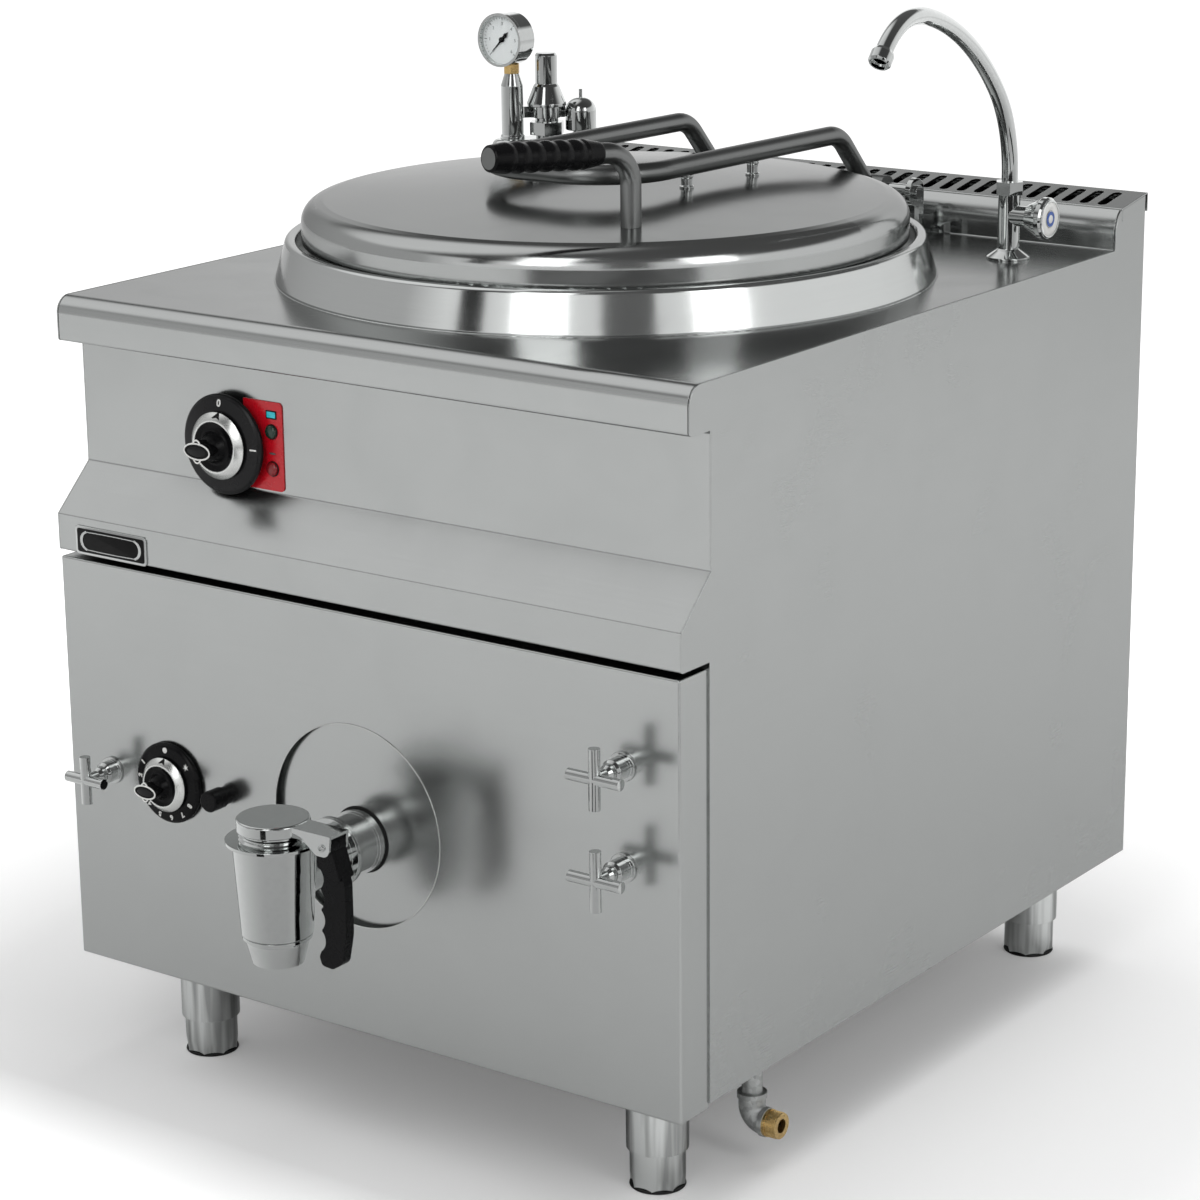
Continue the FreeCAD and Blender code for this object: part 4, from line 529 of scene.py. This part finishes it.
def toward(azimuth, elevation):
    """Unit vector to a point of the room: azimuth from the front towards the right, in degrees."""
    a, e = math.radians(azimuth), math.radians(elevation)
    return (math.sin(a) * math.cos(e), -math.cos(a) * math.cos(e), math.sin(e))


def make_world():
    """White to the camera and to glass, even light on all that is dull.

    Metal sees the white walls, a greyer wall on the left, and a dim ceiling with one pale part.
    """
    world = bpy.data.worlds.new("studio")
    bpy.context.scene.world = world
    world.use_nodes = True
    tree = world.node_tree
    tree.nodes.clear()
    way = add(tree, "ShaderNodeTexCoord").outputs["Generated"]
    up = add(tree, "ShaderNodeSeparateXYZ", {0: way}).outputs[2]
    left = product(tree, way, toward(-80, 0))
    pale = product(tree, way, toward(-78, 54))
    ceiling = remap(tree, up, 0.38, 0.50, 0.0, 1.0)
    panel = remap(tree, pale, 0.78, 0.92, 0.0, 1.0)
    walls = remap(tree, left, 0.50, 0.72, 1.0, 0.55)
    overhead = remap(tree, panel, 0.0, 1.0, DIM_CEILING, 1.0)
    shown = add(tree, "ShaderNodeMix", {0: ceiling, 2: walls, 3: overhead}).outputs[0]
    path = add(tree, "ShaderNodeLightPath").outputs
    plain = add(tree, "ShaderNodeMix", {0: path["Is Glossy Ray"], 2: ROOM_LIGHT, 3: shown}).outputs[0]
    seen = arithmetic(tree, "MAXIMUM", path["Is Camera Ray"], path["Is Transmission Ray"])
    strength = add(tree, "ShaderNodeMix", {0: seen, 2: plain, 3: 1.0}).outputs[0]
    background = add(tree, "ShaderNodeBackground", {"Color": (1, 1, 1, 1), "Strength": strength})
    output = tree.nodes.new("ShaderNodeOutputWorld")
    tree.links.new(background.outputs[0], output.inputs["Surface"])


def make_lamp(name, place, size, power, mirrored=True):
    """Rectangular lamp that points at the middle of the object."""
    data = bpy.data.lights.new(name, "AREA")
    data.shape = "RECTANGLE"
    data.size, data.size_y = size
    data.energy = power
    lamp = bpy.data.objects.new(name, data)
    lamp.location = place
    lamp.rotation_euler = (Vector((0, 0, 0.6)) - Vector(place)).to_track_quat("-Z", "Y").to_euler()
    lamp.visible_glossy = mirrored
    bpy.context.collection.objects.link(lamp)


def make_lights():
    """Two soft boxes that metal mirrors, and two lamps that only dull surfaces feel."""
    make_lamp("key", (0.85, -3.5, 2.9), (1.25, 2.9), 34)
    make_lamp("fill", (3.7, -0.95, 2.4), (1.2, 2.2), 26)
    make_lamp("top", (0.5, 0.9, 3.8), (2.4, 2.4), 62, mirrored=False)
    make_lamp("left", (-3.2, -1.6, 3.2), (2.0, 2.0), 26, mirrored=False)


def make_card(name, azimuth, spread, reach, height, shade, steps):
    """Sheet round the object that only mirrors see: (reach sin a, -reach cos a, height).

    Equal reach and growing height make a wall, growing reach and equal height a strip on the floor.
    """
    turn = np.radians(np.linspace(azimuth - spread / 2, azimuth + spread / 2, steps))
    reach, height = (np.linspace(*span, 3)[:, None] for span in (reach, height))
    x, y = reach * np.sin(turn), -reach * np.cos(turn)
    card = surface(name, np.stack([x, y, np.broadcast_to(height, x.shape)], axis=-1))
    material, tree, shader, place = fresh_material(card.name + " paper")
    dark, pale = ((value, value, value, 1) for value in (shade * 0.8, shade))
    tone = colour_mix(tree, noise(tree, place, 1.5, 2.0), dark, pale)
    tree.links.new(tone, shader.inputs["Emission Color"])
    shader.inputs["Base Color"].default_value = (0, 0, 0, 1)
    shader.inputs["Specular IOR Level"].default_value = 0.0
    shader.inputs["Emission Strength"].default_value = 1.0
    card.data.materials.append(material)
    for ray in ("camera", "diffuse", "transmission", "volume_scatter", "shadow"):
        setattr(card, "visible_" + ray, False)


def make_cards():
    """Two standing cards, a far one on the floor, and four strips that put streaks in round metal."""
    make_card("dark_card", -10, 9, (3.7, 3.7), (1.3, 3.2), 0.03, 9)
    make_card("grey_card", 44, 18, (3.9, 3.9), (0.9, 4.2), 0.16, 9)
    make_card("floor_card", 39, 62, (3.8, 9.0), (0.004, 0.004), 0.05, 33)
    for i, (middle, spread) in enumerate(((6, 12), (46, 9), (92, 12), (-104, 12))):
        make_card(f"floor_strip_{i}", middle, spread, (1.5, 3.7), (0.003, 0.003), 0.03, 5)


# Surfaces worked out on grids

FRONT = np.array([0.0, -1.0, 0.0])
UP = np.array([0.0, 0.0, 1.0])
RIGHT = np.array([1.0, 0.0, 0.0])


def surface(name, points, round_u=False, round_v=False, cap_first=False, cap_last=False):
    """Mesh of quads between the rows and columns of a grid of points, closed round where asked."""
    rows, columns, _ = points.shape
    order = np.arange(rows * columns).reshape(rows, columns)
    if round_u:
        order = np.vstack([order, order[:1]])
    if round_v:
        order = np.hstack([order, order[:, :1]])
    a, b = order[:-1, :-1].ravel(), order[:-1, 1:].ravel()
    c, d = order[1:, 1:].ravel(), order[1:, :-1].ravel()
    faces = np.stack([a, b, c, d], axis=1).tolist()
    if cap_first:
        faces.append(np.arange(columns)[::-1].tolist())
    if cap_last:
        faces.append((np.arange(columns) + (rows - 1) * columns).tolist())
    mesh = bpy.data.meshes.new(name)
    mesh.from_pydata(points.reshape(-1, 3), [], faces)
    mesh.update()
    piece = bpy.data.objects.new(name, mesh)
    bpy.context.collection.objects.link(piece)
    return piece


def placed(points):
    """Points drawn in millimetres on the part's drawing, in the frame's metres."""
    return (np.asarray(points, float) - (0, DRAWN_Y, 0)) * 0.001


def axes(axis):
    """Two unit vectors square to an axis, and the axis itself. The first lies level."""
    w = np.asarray(axis, float) / np.linalg.norm(axis)
    level = np.cross((0, 0, 1), w)
    u = level / np.linalg.norm(level) if np.linalg.norm(level) > 1e-6 else np.array([1.0, 0, 0])
    return u, np.cross(w, u), w


def finished(piece, look, body, crease=0.6):
    """Turns the faces outwards, smooths them up to a crease, and gives finish and body."""
    shape = bmesh.new()
    shape.from_mesh(piece.data)
    bmesh.ops.recalc_face_normals(shape, faces=shape.faces)
    shape.to_mesh(piece.data)
    shape.free()
    piece.data.shade_smooth()
    piece.data.set_sharp_from_angle(angle=crease)
    piece.data.materials.append(looks[look])
    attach(piece, body)
    return piece


def once_round(steps):
    """Angles of one full turn, without the last, which is the first again."""
    return np.linspace(0, 2 * np.pi, steps + 1)[:-1]


def oval(half_u, half_v, steps):
    """Points (half_u cos t, half_v sin t) once round."""
    turn = once_round(steps)
    return np.stack([half_u * np.cos(turn), half_v * np.sin(turn)], axis=1)


def on_face(centre, flat):
    """Points (across, up) laid on a face square to the front: (x + across, y, z + up)."""
    x, y, z = centre
    return np.stack([x + flat[:, 0], np.full(len(flat), y), z + flat[:, 1]], axis=1)


def lathed(name, profile, base, axis, steps=64, ring=False):
    """Profile of (radius, height) turned about an axis: base + r cos t u + r sin t v + h w.

    A ring's profile is closed on itself.
    """
    u, v, w = axes(axis)
    turn = once_round(steps)
    radius, height = np.asarray(profile, float).T[..., None, None]
    out = np.cos(turn)[:, None] * u + np.sin(turn)[:, None] * v
    points = np.asarray(base, float) + radius * out + height * w
    return surface(name, placed(points), ring, True, not ring, not ring)


def carried(name, path, section, facing, closed=True):
    """Closed section of (side, out) points carried along a path: p + side (t x facing) + out facing."""
    path, section = np.asarray(path, float), np.asarray(section, float)
    if closed:
        along = np.roll(path, -1, axis=0) - np.roll(path, 1, axis=0)
    else:
        along = np.gradient(path, axis=0)
    along = along / np.linalg.norm(along, axis=1, keepdims=True)
    facing = np.broadcast_to(np.asarray(facing, float), path.shape)
    side = np.cross(along, facing)
    side = side / np.linalg.norm(side, axis=1, keepdims=True)
    points = path[:, None] + section[None, :, :1] * side[:, None] + section[None, :, 1:] * facing[:, None]
    return surface(name, placed(points), closed, True, not closed, not closed)


def rounded_outline(half_u, half_v, corner, steps=10):
    """Rounded rectangle: a quarter circle about each corner's centre."""
    turn = np.linspace(0, np.pi / 2, steps)
    quarters = []
    for i, (s, t) in enumerate(((1, 1), (-1, 1), (-1, -1), (1, -1))):
        a = turn + i * np.pi / 2
        arc = corner * np.stack([np.cos(a), np.sin(a)], axis=1)
        quarters.append(arc + (s * (half_u - corner), t * (half_v - corner)))
    return np.concatenate(quarters)


def slab(name, outline, centre, facing, up, thick, bevel, low=0.0):
    """Flat piece from an outline: up its edge, in over a bevel of two steps, and closed on top."""
    w = np.asarray(facing, float) / np.linalg.norm(facing)
    v = np.asarray(up, float) / np.linalg.norm(up)
    u = np.cross(v, w)
    outline = np.asarray(outline, float)
    reach = np.linalg.norm(outline, axis=1, keepdims=True)
    rows = []
    for inset, height in ((0, low), (0, thick - bevel), (bevel * 0.3, thick - bevel * 0.3), (bevel, thick)):
        flat = outline * np.clip(1 - inset / np.maximum(reach, 1e-6), 0.05, 1)
        rows.append(np.asarray(centre, float) + flat[:, :1] * u + flat[:, 1:] * v + height * w)
    return surface(name, placed(np.stack(rows)), round_v=True, cap_first=True, cap_last=True)


def lettering(name, text, size, centre, facing, up, thick=0.15, weight=0.0):
    """Plain figures, extruded, made a mesh, centred and then laid on the face: x u + y v + z w."""
    data = bpy.data.curves.new(name, "FONT")
    data.body = text
    data.size = size
    data.align_x, data.align_y = "CENTER", "CENTER"
    data.extrude = thick / 2
    data.offset = weight
    data.resolution_u = 3
    mould = bpy.data.objects.new(name + "_line", data)
    mesh = bpy.data.meshes.new_from_object(mould)
    bpy.data.objects.remove(mould)
    flat = np.zeros(len(mesh.vertices) * 3)
    mesh.vertices.foreach_get("co", flat)
    flat = flat.reshape(-1, 3)
    flat[:, :2] -= (flat[:, :2].max(axis=0) + flat[:, :2].min(axis=0)) / 2
    w = np.asarray(facing, float) / np.linalg.norm(facing)
    v = np.asarray(up, float) / np.linalg.norm(up)
    u = np.cross(v, w)
    points = np.asarray(centre, float) + flat[:, :1] * u + flat[:, 1:2] * v + flat[:, 2:] * w
    mesh.vertices.foreach_set("co", placed(points).ravel())
    mesh.update()
    piece = bpy.data.objects.new(name, mesh)
    bpy.context.collection.objects.link(piece)
    return piece


# Knobs and their marks


def clock(centre, radius, hour):
    """Point on a face seen from the front, and the way out from its middle, by the hour hand."""
    a = math.radians(90 - 30 * hour)
    out = np.array([math.cos(a), 0, math.sin(a)])
    return np.array(centre) + out * radius, out


LOBE_BAND = [(-0.95, -0.3), (0.95, -0.3), (0.8, 0.25), (0, 0.38), (-0.8, 0.25)]
KNOB_RIBS = 14
RIB_SECTION = [(-0.5, -0.4), (0.5, -0.4), (0.3, 0.5), (-0.3, 0.5)]
ARROW_OUTLINE = np.array([(0, 4.8), (-4.4, -3.2), (0, -1.2), (4.4, -3.2)]) / 35


def knob_ring(body, base, r):
    """Bright ring on the skirt's slope, closed on itself, and a dark arrowhead that lies on it."""
    inner = r * 0.8
    slope = [(r - 0.2, 2.6), (r + 0.25, 3.2), (inner + 0.3, 9.3), (inner - 1.0, 9.6)]
    slope += [(r * 0.74, 9.3), (r * 0.76, 8.4)]
    finished(lathed(body + "_ring", slope, base, FRONT, 96, ring=True), "ring steel", body)
    mark, out = clock(base + FRONT * 6.6, r * 0.92, 0.2)
    lean = out * 0.66 + FRONT * 0.75
    up = np.cross(np.cross(lean, out), lean)
    arrow = slab(body + "_arrow", ARROW_OUTLINE * r, mark, lean, up, 0.5, 0.05, -0.5)
    finished(arrow, "needle black", body)


def knob_lobes(body, face, r):
    """Pale outlines of the two crossed lobes on the knob's top, and a padded middle."""
    wide = on_face(face, oval(r * 0.49, r * 0.235, 72))
    finished(carried(body + "_lobe", wide, LOBE_BAND, FRONT), "print white", body)
    for label, side in (("_lobe_upper", 1), ("_lobe_lower", -1)):
        turn = side * np.radians(np.linspace(46, 134, 15))
        short = on_face(face, np.stack([r * 0.185 * np.cos(turn), r * 0.34 * np.sin(turn)], axis=1))
        outline = carried(body + label, short, LOBE_BAND, FRONT, closed=False)
        finished(outline, "print white", body)
    pad = slab(body + "_pad", oval(r * 0.36, r * 0.14, 32), face, FRONT, UP, 0.5, 0.4, -0.3)
    finished(pad, "bezel plastic", body)


def dress_knob(body, base, r, tip):
    """Ring, arrowhead, lobe outlines and grip ribs of a knob: its foot, skirt radius and height."""
    base = np.array(base)
    knob_ring(body, base, r)
    knob_lobes(body, base + FRONT * tip, r)
    for i in range(KNOB_RIBS):
        a = 2 * math.pi * i / KNOB_RIBS
        way = np.array([math.cos(a), 0, math.sin(a)])
        near = base + FRONT * 7.4 + way * r * 0.50
        far = base + FRONT * (tip * 0.47) + way * r * 0.37
        out = way + FRONT * 0.4
        path = [near, (near + far) / 2 - out * 0.8, far]
        rib = carried(f"{body}_rib_{i}", path, RIB_SECTION, out, closed=False)
        finished(rib, "black plastic", body)


SPARK_OUTLINE = [
    (0, 4), (0.9, 1.1), (3.4, 2.2), (1.4, 0), (3.0, -2.4), (0.2, -1.2),
    (-0.8, -4), (-1.1, -0.9), (-3.6, -1.2), (-1.3, 0.4), (-2.4, 2.8), (-0.7, 1.2),
]
BEZEL_SLOPE = 0.14


def bezel_place(bezel, radius, hour):
    """Place of a mark by the hour hand, the way out of the bezel's slope there, and the mark's way up."""
    at, out = clock(bezel, radius, hour)
    lean = out * BEZEL_SLOPE + FRONT
    return at, lean, out - lean * np.dot(out, lean)


def dial_figure(name, figure, size, bezel, radius, hour, weight):
    """Printed figure on a bezel's slope, by the hour hand."""
    piece = lettering(name, figure, size, *bezel_place(bezel, radius, hour), 0.8, weight)
    finished(piece, "print white", "cabinet")


def mark_dials():
    """Figures on both bezels: 0 and 1 round the switch; a dot, a spark and 8 down to 1 round the gas knob."""
    for figure, hour in (("0", 0), ("1", 3)):
        dial_figure("switch_mark_" + figure, figure, 10.5, SWITCH_BEZEL, 44.0, hour, 0.32)
    dot = oval(3.1, 3.1, 24)
    for label, outline, hour, bevel in (("dot", dot, 0, 0.1), ("spark", SPARK_OUTLINE, 1.7, 0.05)):
        at, lean, _ = bezel_place(GAS_BEZEL, 37.0, hour)
        sign = slab("gas_mark_" + label, outline, at, lean, UP, 0.5, bevel, -0.5)
        finished(sign, "print white", "cabinet")
    for i in range(8):
        dial_figure(f"gas_mark_{8 - i}", str(8 - i), 7.8, GAS_BEZEL, 37.0, 4 + 0.86 * i, 0.3)


# Red plate, lamps and the bare name plate


LAMP_CAP_RADIUS, LAMP_CAP_WALL, LAMP_CAP_CROWN = 7.15, 1.9, 3.0
LAMP_RIM = [(7.1, 0), (8.1, 0), (8.1, 0.7), (7.8, 1.1), (7.1, 1.1)]


def dress_red_plate():
    """Lens caps with rims, a small window in a dark frame and a lens-shaped mark."""
    for z, look, label in ((732.3, "lamp plastic", "upper"), (693.6, "lamp red", "lower")):
        base = (RED_PLATE_X - 0.2, RED_PLATE_Y, z)
        turn = np.linspace(0, np.pi / 2, 8)[:-1]
        rise = LAMP_CAP_WALL + LAMP_CAP_CROWN * np.sin(turn)
        crown = np.stack([LAMP_CAP_RADIUS * np.cos(turn), rise], axis=1)
        cap = [(LAMP_CAP_RADIUS, 0), *crown, (0.05, LAMP_CAP_WALL + LAMP_CAP_CROWN)]
        finished(lathed("lamp_cap_" + label, cap, base, FRONT, 48), look, "cabinet")
        rim = lathed("lamp_rim_" + label, LAMP_RIM, base, FRONT, 48, ring=True)
        finished(rim, "bezel plastic", "cabinet")
    window = np.array([RED_PLATE_X, RED_PLATE_Y, 750])
    border = slab("window_frame", rounded_outline(7.0, 4.4, 1.0, 4), window, FRONT, UP, 0.6, 0.2)
    finished(border, "bezel plastic", "cabinet")
    pane = rounded_outline(5.6, 3.1, 0.6, 4)
    light = slab("window_light", pane, window + FRONT * 0.6, FRONT, UP, 0.35, 0.1, -0.1)
    finished(light, "window cyan", "cabinet")
    turn = once_round(24)
    lens = np.stack([4.6 * np.cos(turn), 1.1 * np.sin(turn) * np.abs(np.sin(turn)) ** 0.3], axis=1)
    mark = slab("plate_mark", lens, (RED_PLATE_X, RED_PLATE_Y, 709.5), FRONT, UP, 0.25, 0.05)
    finished(mark, "print grey", "cabinet")


def make_name_plate():
    """Bare plate on the lip: a bright rim, a dark field and a raised capsule outline, thick at its ends."""
    centre = np.array(NAME_PLATE)
    plate = slab("name_plate", rounded_outline(50.5, 15.5, 4.0), centre, FRONT, UP, 1.6, 0.5)
    finished(plate, "chrome", "cabinet")
    inset = rounded_outline(47.8, 12.9, 3.0)
    field = slab("name_plate_field", inset, centre + FRONT * 1.6, FRONT, UP, 0.2, 0.05)
    finished(field, "needle black", "cabinet")
    raised = centre + FRONT * 1.8
    turn = once_round(120)
    length = np.clip(np.cos(turn) * 3.0, -1, 1) * 33.0
    line = np.stack([length + 10.0 * np.cos(turn), 10.0 * np.sin(turn)], axis=1)
    band = [(-0.6, -0.1), (0.6, -0.1), (0.5, 0.4), (0, 0.55), (-0.5, 0.4)]
    finished(carried("name_plate_capsule", on_face(raised, line), band, FRONT), "chrome", "cabinet")
    turn = np.linspace(-np.pi / 2.4, np.pi / 2.4, 25)
    outer = np.stack([11.2 * np.cos(turn) - 3.0, 11.2 * np.sin(turn)], axis=1)
    inner = np.stack([8.6 * np.cos(turn[::-1]) - 3.2, 8.9 * np.sin(turn[::-1])], axis=1)
    crescent = np.concatenate([outer, inner])
    for label, side in (("right", 1), ("left", -1)):
        place = raised + (side * 34.5, 0, 0)
        piece = slab("name_plate_end_" + label, crescent * (side, 1), place, FRONT, UP, 0.4, 0.0, -0.1)
        finished(piece, "chrome", "cabinet")


# Gauge, tap face, threads, screws, weld and pads


def dial_way(angle):
    """Way out from the dial's middle, by its angle from the right in degrees."""
    a = math.radians(angle)
    return np.array([math.cos(a), 0, math.sin(a)])


NEEDLE_TAIL = [(0, 4.6), (-2.9, -2.4), (-0.8, -1.4), (-0.8, -3.6), (0.8, -3.6), (0.8, -1.4), (2.9, -2.4)]
NEEDLE_CAP = [(3.2, 0), (3.2, 0.8), (2.4, 1.3), (0.05, 1.4)]
SCALE_START, SCALE_STEP, TICKS, TICKS_TO_A_FIGURE = 225, 9, 31, 5


def make_gauge_scale():
    """Ticks and figures round the dial, and an arrow and a cap on the needle."""
    for i in range(TICKS):
        major = i % TICKS_TO_A_FIGURE == 0
        out = dial_way(SCALE_START - SCALE_STEP * i)
        centre = GAUGE_DIAL + out * (24.6 if major else 25.4)
        bar = rounded_outline(0.38 if major else 0.22, 1.9 if major else 1.1, 0.1, 2)
        tick = slab(f"gauge_tick_{i}", bar, centre, FRONT, out, 0.12, 0.02)
        finished(tick, "print grey", "cabinet")
    for i in range(TICKS // TICKS_TO_A_FIGURE + 1):
        out = dial_way(SCALE_START - SCALE_STEP * TICKS_TO_A_FIGURE * i)
        piece = lettering(f"gauge_figure_{i}", str(i), 5.2, GAUGE_DIAL + FRONT * 0.1 + out * 18.6, FRONT, UP)
        finished(piece, "print grey", "cabinet")
    out = dial_way(45)
    tail = slab("needle_tail", NEEDLE_TAIL, GAUGE_DIAL + FRONT * 1.2 + out * 8.6, FRONT, out, 0.8, 0.1)
    finished(tail, "needle black", "gauge_needle")
    cap = lathed("needle_cap", NEEDLE_CAP, GAUGE_DIAL + FRONT * 2.0, FRONT, 32)
    finished(cap, "needle black", "gauge_needle")


def make_tap_face():
    """White face, bright rim, blue ring and centre on the mixer tap's handwheel, turned about its axis."""
    disc = [(9.2, 0), (18.4, 0), (18.4, 0.5), (17.6, 1.0), (12.0, 1.35), (9.8, 1.0), (9.2, 0.4)]
    rim = [(18.4, 0), (20.6, 0), (20.6, 0.9), (19.6, 1.5), (18.4, 1.2)]
    blue = [(4.6, 0), (8.4, 0), (8.2, 0.4), (4.8, 0.4)]
    button = [(4.4, 0), (4.4, 0.5), (3.2, 1.0), (0.05, 1.2)]
    for name, look, profile, base, steps, ring in (
        ("tap_face", "print white", disc, HANDWHEEL_FACE, 64, True),
        ("tap_face_rim", "chrome", rim, HANDWHEEL_FACE, 64, True),
        ("tap_blue_ring", "ring blue", blue, HANDWHEEL_CENTRE, 48, True),
        ("tap_centre", "print white", button, HANDWHEEL_CENTRE, 32, False),
    ):
        finished(lathed(name, profile, base, RIGHT, steps, ring), look, "faucet_handwheel")


def make_nipple_thread():
    """Ridge carried up a screw line: base + r cos t u + r sin t v + (t / 2 pi) pitch w, faded at its ends."""
    radius, length, pitch, depth = 13.5, 10.5, 1.8, 0.7
    u, v, w = axes(RIGHT)
    turn = np.linspace(0, 2 * np.pi * length / pitch, int(28 * length / pitch))
    out = np.cos(turn)[:, None] * u + np.sin(turn)[:, None] * v
    fade = np.clip(np.minimum(turn, turn[-1] - turn) / 3.0, 0.05, 1)
    reach = radius - depth * (1 - fade)
    path = np.array(NIPPLE_END) + out * reach[:, None] + (turn / (2 * np.pi) * pitch)[:, None] * w
    ridge = [(-pitch * 0.42, -0.2), (pitch * 0.42, -0.2), (pitch * 0.08, depth), (-pitch * 0.08, depth)]
    finished(carried("nipple_thread", path, ridge, out, closed=False), "brass", "cabinet", 0.4)


# Rows of a screw's head as shares of its radius: out, up, and 1 where the row follows the hexagon
SCREW_HEAD = np.array([
    (0.02, 0.25, 1), (0.42, 0.25, 1), (0.42, 0.62, 1), (0.60, 0.60, 0),
    (0.85, 0.42, 0), (1.0, 0.12, 0), (1.0, -0.05, 0),
])


def make_screw(name, centre, axis, radius, body):
    """Button head with a hexagon socket: flat-bottomed hole, crowned top and rounded rim."""
    u, v, w = axes(axis)
    turn = once_round(48)
    sector = np.pi / 3
    flats = 1 / np.cos((turn + sector / 2) % sector - sector / 2)
    shape = SCREW_HEAD[:, :1] * np.where(SCREW_HEAD[:, 2:] > 0, flats, 1.0)
    out = np.cos(turn)[:, None] * u + np.sin(turn)[:, None] * v
    points = np.asarray(centre, float) + radius * shape[..., None] * out
    points = points + (radius * SCREW_HEAD[:, 1])[:, None, None] * w
    head = surface(name, placed(points), round_v=True, cap_first=True, cap_last=True)
    finished(head, "chrome", body)


def make_screws():
    """Two on the lever's pin, and those of the rear panel along its four edges."""
    make_screw("lever_screw_front", (74, -140.5, 384), FRONT, 3.6, "drain_cap")
    make_screw("lever_screw_back", (74, -109.5, 384), -FRONT, 3.6, "drain_cap")
    for i, x in enumerate((-380, -190, 0, 190, 380)):
        make_screw(f"back_screw_low_{i}", (x, REAR_PANEL_Y, 145), -FRONT, 4.0, "cabinet")
        make_screw(f"back_screw_high_{i}", (x, REAR_PANEL_Y, 880), -FRONT, 4.0, "cabinet")
    for i, z in enumerate((330, 520, 710)):
        make_screw(f"back_screw_left_{i}", (-390, REAR_PANEL_Y, z), -FRONT, 4.0, "cabinet")
        make_screw(f"back_screw_right_{i}", (390, REAR_PANEL_Y, z), -FRONT, 4.0, "cabinet")


def make_weld():
    """Seam where the collar meets the worktop: a bead round the pan with fine even ripples."""
    turn = once_round(720)
    radius = 353.3 + 0.12 * np.sin(turn * 180)
    x, y = radius * np.cos(turn), PAN_CENTRE_Y + radius * np.sin(turn)
    path = np.stack([x, y, np.full_like(x, WORKTOP_TOP)], axis=1)
    bead = carried("collar_weld", path, oval(0.9, 0.75, 6), UP)
    finished(bead, "collar steel", "cabinet")


def cover_top(y):
    """Height of the chimney cover's upper face, which rises evenly towards the back."""
    return COVER_HEIGHT + COVER_RISE * (y - COVER_FRONT)


def make_flue_guard():
    """Black sheet 8 mm under the slots, painted shade that darkens them, level from side to side and sloped
    as the cover is.
    """
    x, y = np.meshgrid(np.linspace(-388, 388, 41), np.linspace(856, 905, 5))
    # Painted shade: a black sheet that darkens the view through the slots
    sheet = surface("flue_shade_sheet", placed(np.stack([x, y, cover_top(y) - 8.0], axis=-1)))
    wall = sheet.modifiers.new("wall", "SOLIDIFY")
    wall.thickness = 0.001
    wall.offset = -1.0
    finished(sheet, "painted shade black", "cabinet")


def make_slot_liners():
    """Black wall inside each chimney slot, painted shade: a stadium outline on the cover's slope, carried as
    a thin band.
    """
    wall = [(-0.09, -2.4), (0.09, -2.4), (0.09, -0.1), (-0.09, -0.1)]
    x, y = (rounded_outline(5.65, 22.1, 5.6, 7) + (FIRST_SLOT, SLOT_MIDDLE)).T
    for i in range(SLOTS):
        # Painted shade: each slot gets a black wall
        path = np.stack([x + SLOT_PITCH * i, y, cover_top(y)], axis=1)
        finished(carried(f"slot_liner_{i}", path, wall, UP), "painted shade black", "cabinet")


def make_drain_seams():
    """Thin folded edge round the recess in the door, and a dark ring round the pipe's ferrule that paints the
    contact shade there.
    """
    seam = [(107.4, 0.3), (108.4, 0.3), (108.3, 0.75), (107.9, 0.9), (107.5, 0.75)]
    edge = lathed("recess_seam", seam, RECESS_CENTRE, FRONT, 192, ring=True)
    finished(edge, "ring steel", "cabinet")
    # Painted contact shade: a dark ring in rubber's finish where the pipe meets the door
    contact_shade_profile = [(33.3, 0), (35.4, 0), (35.2, 0.8), (33.3, 1.2)]
    ring = lathed("drain_contact_shade", contact_shade_profile, FERRULE_FACE, FRONT, 96, ring=True)
    finished(ring, "rubber", "cabinet")


def make_foot_pads():
    """Rubber rim round the foot of each leveller."""
    rim = [(24, 0), (28.7, 0), (29.0, 0.6), (28.7, 1.8), (24, 1.8)]
    for site, (x, y) in FEET.items():
        pad = lathed("foot_pad_" + site, rim, (x, y, 0), UP, 64, ring=True)
        finished(pad, "rubber", "leveller_" + site)


dress_nodes()
make_camera()
make_floor()
make_world()
make_lights()
make_cards()
dress_knob("switch_knob", SWITCH_KNOB, 35.0, 34.5)
dress_knob("gas_knob", GAS_KNOB, 29.5, 32.0)
mark_dials()
dress_red_plate()
make_name_plate()
make_gauge_scale()
make_tap_face()
make_weld()
make_flue_guard()
make_slot_liners()
make_drain_seams()
make_foot_pads()
make_nipple_thread()
make_screws()

bpy.context.scene.view_settings.view_transform = "Standard"
